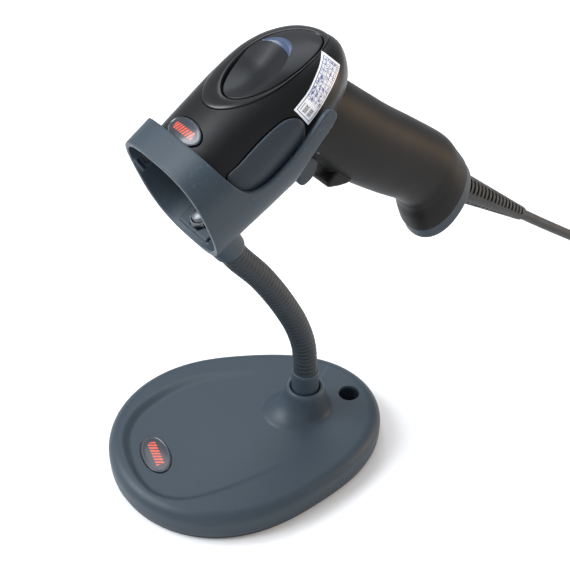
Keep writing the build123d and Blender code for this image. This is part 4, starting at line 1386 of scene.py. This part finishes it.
# ------------------------------------------------------------------ boot, cable and plug
BOOT_TURN = angles(112)
BOOT_RING = np.cos(BOOT_TURN)[:, None] * CABLE_X + np.sin(BOOT_TURN)[:, None] * CABLE_Y
STEM_RADIUS = 4.85                      # part of the boot inside the handle
FLARE_START = 0.95                      # where the boot swells out of the foot
BOOT_WIDE, BOOT_NARROW, BOOT_TIP = 8.1, 3.75, 72.3
SLOT_PITCH, SLOT_SPAN = 3.85, (8.0, 69.0)
SLOT_TURN = 0.35                        # turns all the slots round the boot, in radians
# four columns of slots: place along the pitch, angle round the boot
SLOT_COLUMNS = ((0.0, 50), (0.5, 130), (0.5, 230), (0.0, 310))
CABLE_RADIUS = 2.86
PLUG_START = 144.3


def boot_radius(along):
    """cone with staggered slots sunk into it, rounded at the tip"""
    if along < FLARE_START:
        return np.full(len(BOOT_TURN), STEM_RADIUS)
    swell = math.sin(0.5 * math.pi * min(1.0, (along - FLARE_START) / 0.9))
    cone = BOOT_WIDE - (along - 1.0) * (BOOT_WIDE - BOOT_NARROW) / BOOT_TIP
    full = STEM_RADIUS + (cone - STEM_RADIUS) * swell
    radius = np.full(len(BOOT_TURN), full)
    if SLOT_SPAN[0] < along < SLOT_SPAN[1]:
        for shift, degrees in SLOT_COLUMNS:
            phase = ((along - SLOT_SPAN[0]) / SLOT_PITCH + shift) % 1.0
            lengthwise = smooth_step((0.25 - abs(phase - 0.5)) / 0.09)
            turn = BOOT_TURN - SLOT_TURN - math.radians(degrees)
            away = np.abs((turn + math.pi) % (2 * math.pi) - math.pi)
            around = smooth_step((math.radians(29) - away) / math.radians(6))
            radius = radius - full * 0.26 * lengthwise * around
    if along > BOOT_TIP:
        radius = radius - (along - BOOT_TIP) * 0.5
    return radius


def make_boot():
    stations = np.concatenate([[-9.0, -8.9], np.linspace(-4.0, 0.9, 10),
                               np.linspace(FLARE_START, 73.3, 430)])
    rows = [CABLE_START + CABLE_AXIS * along + BOOT_RING * boot_radius(along)[:, None]
            for along in stations]
    return tube("strain_relief_boot", rows, sharp=55)


def make_cable():
    start, end = 66.0, 145.0
    rows = []
    for along in np.linspace(start, end, 150):
        sag = 0.3 * math.sin((along - start) / (end - start) * math.pi)
        rows.append(CABLE_START + CABLE_AXIS * along + CABLE_Y * sag
                    + BOOT_RING[::2] * CABLE_RADIUS)
    return tube("cable_sheath", rows)


def plug_section(along):
    """half width, half height and power of the plug; its wide body begins at 0"""
    if along <= 0:
        rib = 0.35 if int((along + 9) / 1.2) % 2 else 0.0
        radius = 3.05 + 0.45 * ((along + 9.0) / 9.0) + rib
        return radius, radius, 1.0
    widen = smooth_step(along / 4.0)
    half_width = 3.5 + (7.8 - 3.5) * widen
    half_height = 3.4 + (4.0 - 3.4) * widen
    if 8 < along < 18:      # finger ribs
        half_width -= 0.35 * (0.5 - 0.5 * math.cos((along - 8) / 2.0 * 2 * math.pi))
    if along > 25.2:
        half_width -= (along - 25.2) * 0.8
        half_height -= (along - 25.2) * 0.8
    return half_width, half_height, 1.0 - 0.55 * widen


def make_plug():
    rows = []
    for along in np.concatenate([np.linspace(-9.0, 0.0, 40), np.linspace(0.02, 26.0, 140)]):
        half_width, half_height, power = plug_section(along)
        across = half_width * signed_power(np.cos(BOOT_TURN), power)
        up = half_height * signed_power(np.sin(BOOT_TURN), power)
        rows.append(CABLE_START + CABLE_AXIS * (PLUG_START + along)
                    + (across[:, None] * CABLE_X + up[:, None] * CABLE_Y))
    return tube("usb_plug_overmould", rows, sharp=50)


piece(make_boot(), "boot", "scanner", "strain_relief")
piece(make_cable(), "cable", "scanner", "cable")
piece(make_plug(), "boot", "scanner", "usb_plug_body")

# ------------------------------------------------------------------ pieces kept from the frame
KEPT = {
    "base_plate": "plate", "base_weight": "cast", "base_mat": "rubber", "base_screws": "screw",
    "neck_base_nut": "steel", "cup_magnets": "steel", "scan_window": "window",
    "engine_chassis": "alloy", "laser_module": "alloy", "collector_mirror": "mirror",
    "photodiode_board": "pcb", "mirror_holder": "chip", "scan_mirror": "mirror",
    "mirror_coil": "copper", "main_board": "pcb", "board_chips": "chip", "buzzer": "chip",
    "trigger_pin": "steel", "trigger_switch": "chip", "housing_screws": "screw",
    "cable_connector": "socket", "usb_plug_shell": "steel",
}
for node_name, ob in NODES.items():
    if not ob.hide_render:
        dress(ob, KEPT.get(node_name, "slate"))


# ------------------------------------------------------------------ stage, in metres
def make_floor(half=3.0, drop=0.0006):
    mesh = bpy.data.meshes.new("floor")
    mesh.from_pydata([(-half, -half, 0), (half, -half, 0), (half, half, 0), (-half, half, 0)],
                     [], [(0, 1, 2, 3)])
    floor = link_new("floor", mesh)
    floor.location.z = -drop
    floor.data.materials.append(floor_paint())


def area(name, place, size, power, colour, target=(0.0, 0.0, 0.09)):
    """rectangular light with equal sides, aimed at the target"""
    data = bpy.data.lights.new(name, "AREA")
    data.energy = power
    data.color = colour
    data.shape = "RECTANGLE"
    data.size = size
    data.size_y = size
    light = link_new(name, data)
    light.location = place
    aim = Vector(target) - Vector(place)
    light.rotation_euler = aim.to_track_quat("-Z", "Y").to_euler()


def make_world():
    world = bpy.data.worlds.new("studio")
    scene.world = world
    world.use_nodes = True
    background = next(n for n in world.node_tree.nodes if n.type == "BACKGROUND")
    background.inputs["Color"].default_value = (0.93, 0.95, 1.0, 1)
    background.inputs["Strength"].default_value = 0.62


def make_camera():
    data = bpy.data.cameras.new("camera")
    data.sensor_width = 36.0
    data.lens = 70.38
    data.clip_start = 0.01
    camera = link_new("camera", data)
    right = Vector((0.3803, 0.9249, 0.0))
    back = Vector((0.7228, -0.2972, 0.6239))
    turn = Matrix((right, back.cross(right), back)).transposed()
    place = Vector((0.3746, -0.137, 0.4218))
    camera.matrix_world = Matrix.Translation(place) @ turn.to_4x4()
    scene.camera = camera


make_floor()
area("key", place=(-0.35, -0.95, 1.0), size=0.8, power=22.0, colour=(0.92, 0.96, 1.0))
area("top", place=(-0.5, 0.25, 1.25), size=0.9, power=9.0, colour=(0.90, 0.95, 1.0))
area("warm", place=(0.35, 1.15, 0.30), size=0.6, power=5.5, colour=(1.0, 0.72, 0.45),
     target=(0.0, 0.1, 0.1))
area("fill", place=(1.3, -0.5, 0.5), size=1.2, power=3.0, colour=(0.95, 0.96, 1.0))
make_world()
make_camera()
scene.view_settings.view_transform = "Standard"
scene.view_settings.look = "None"
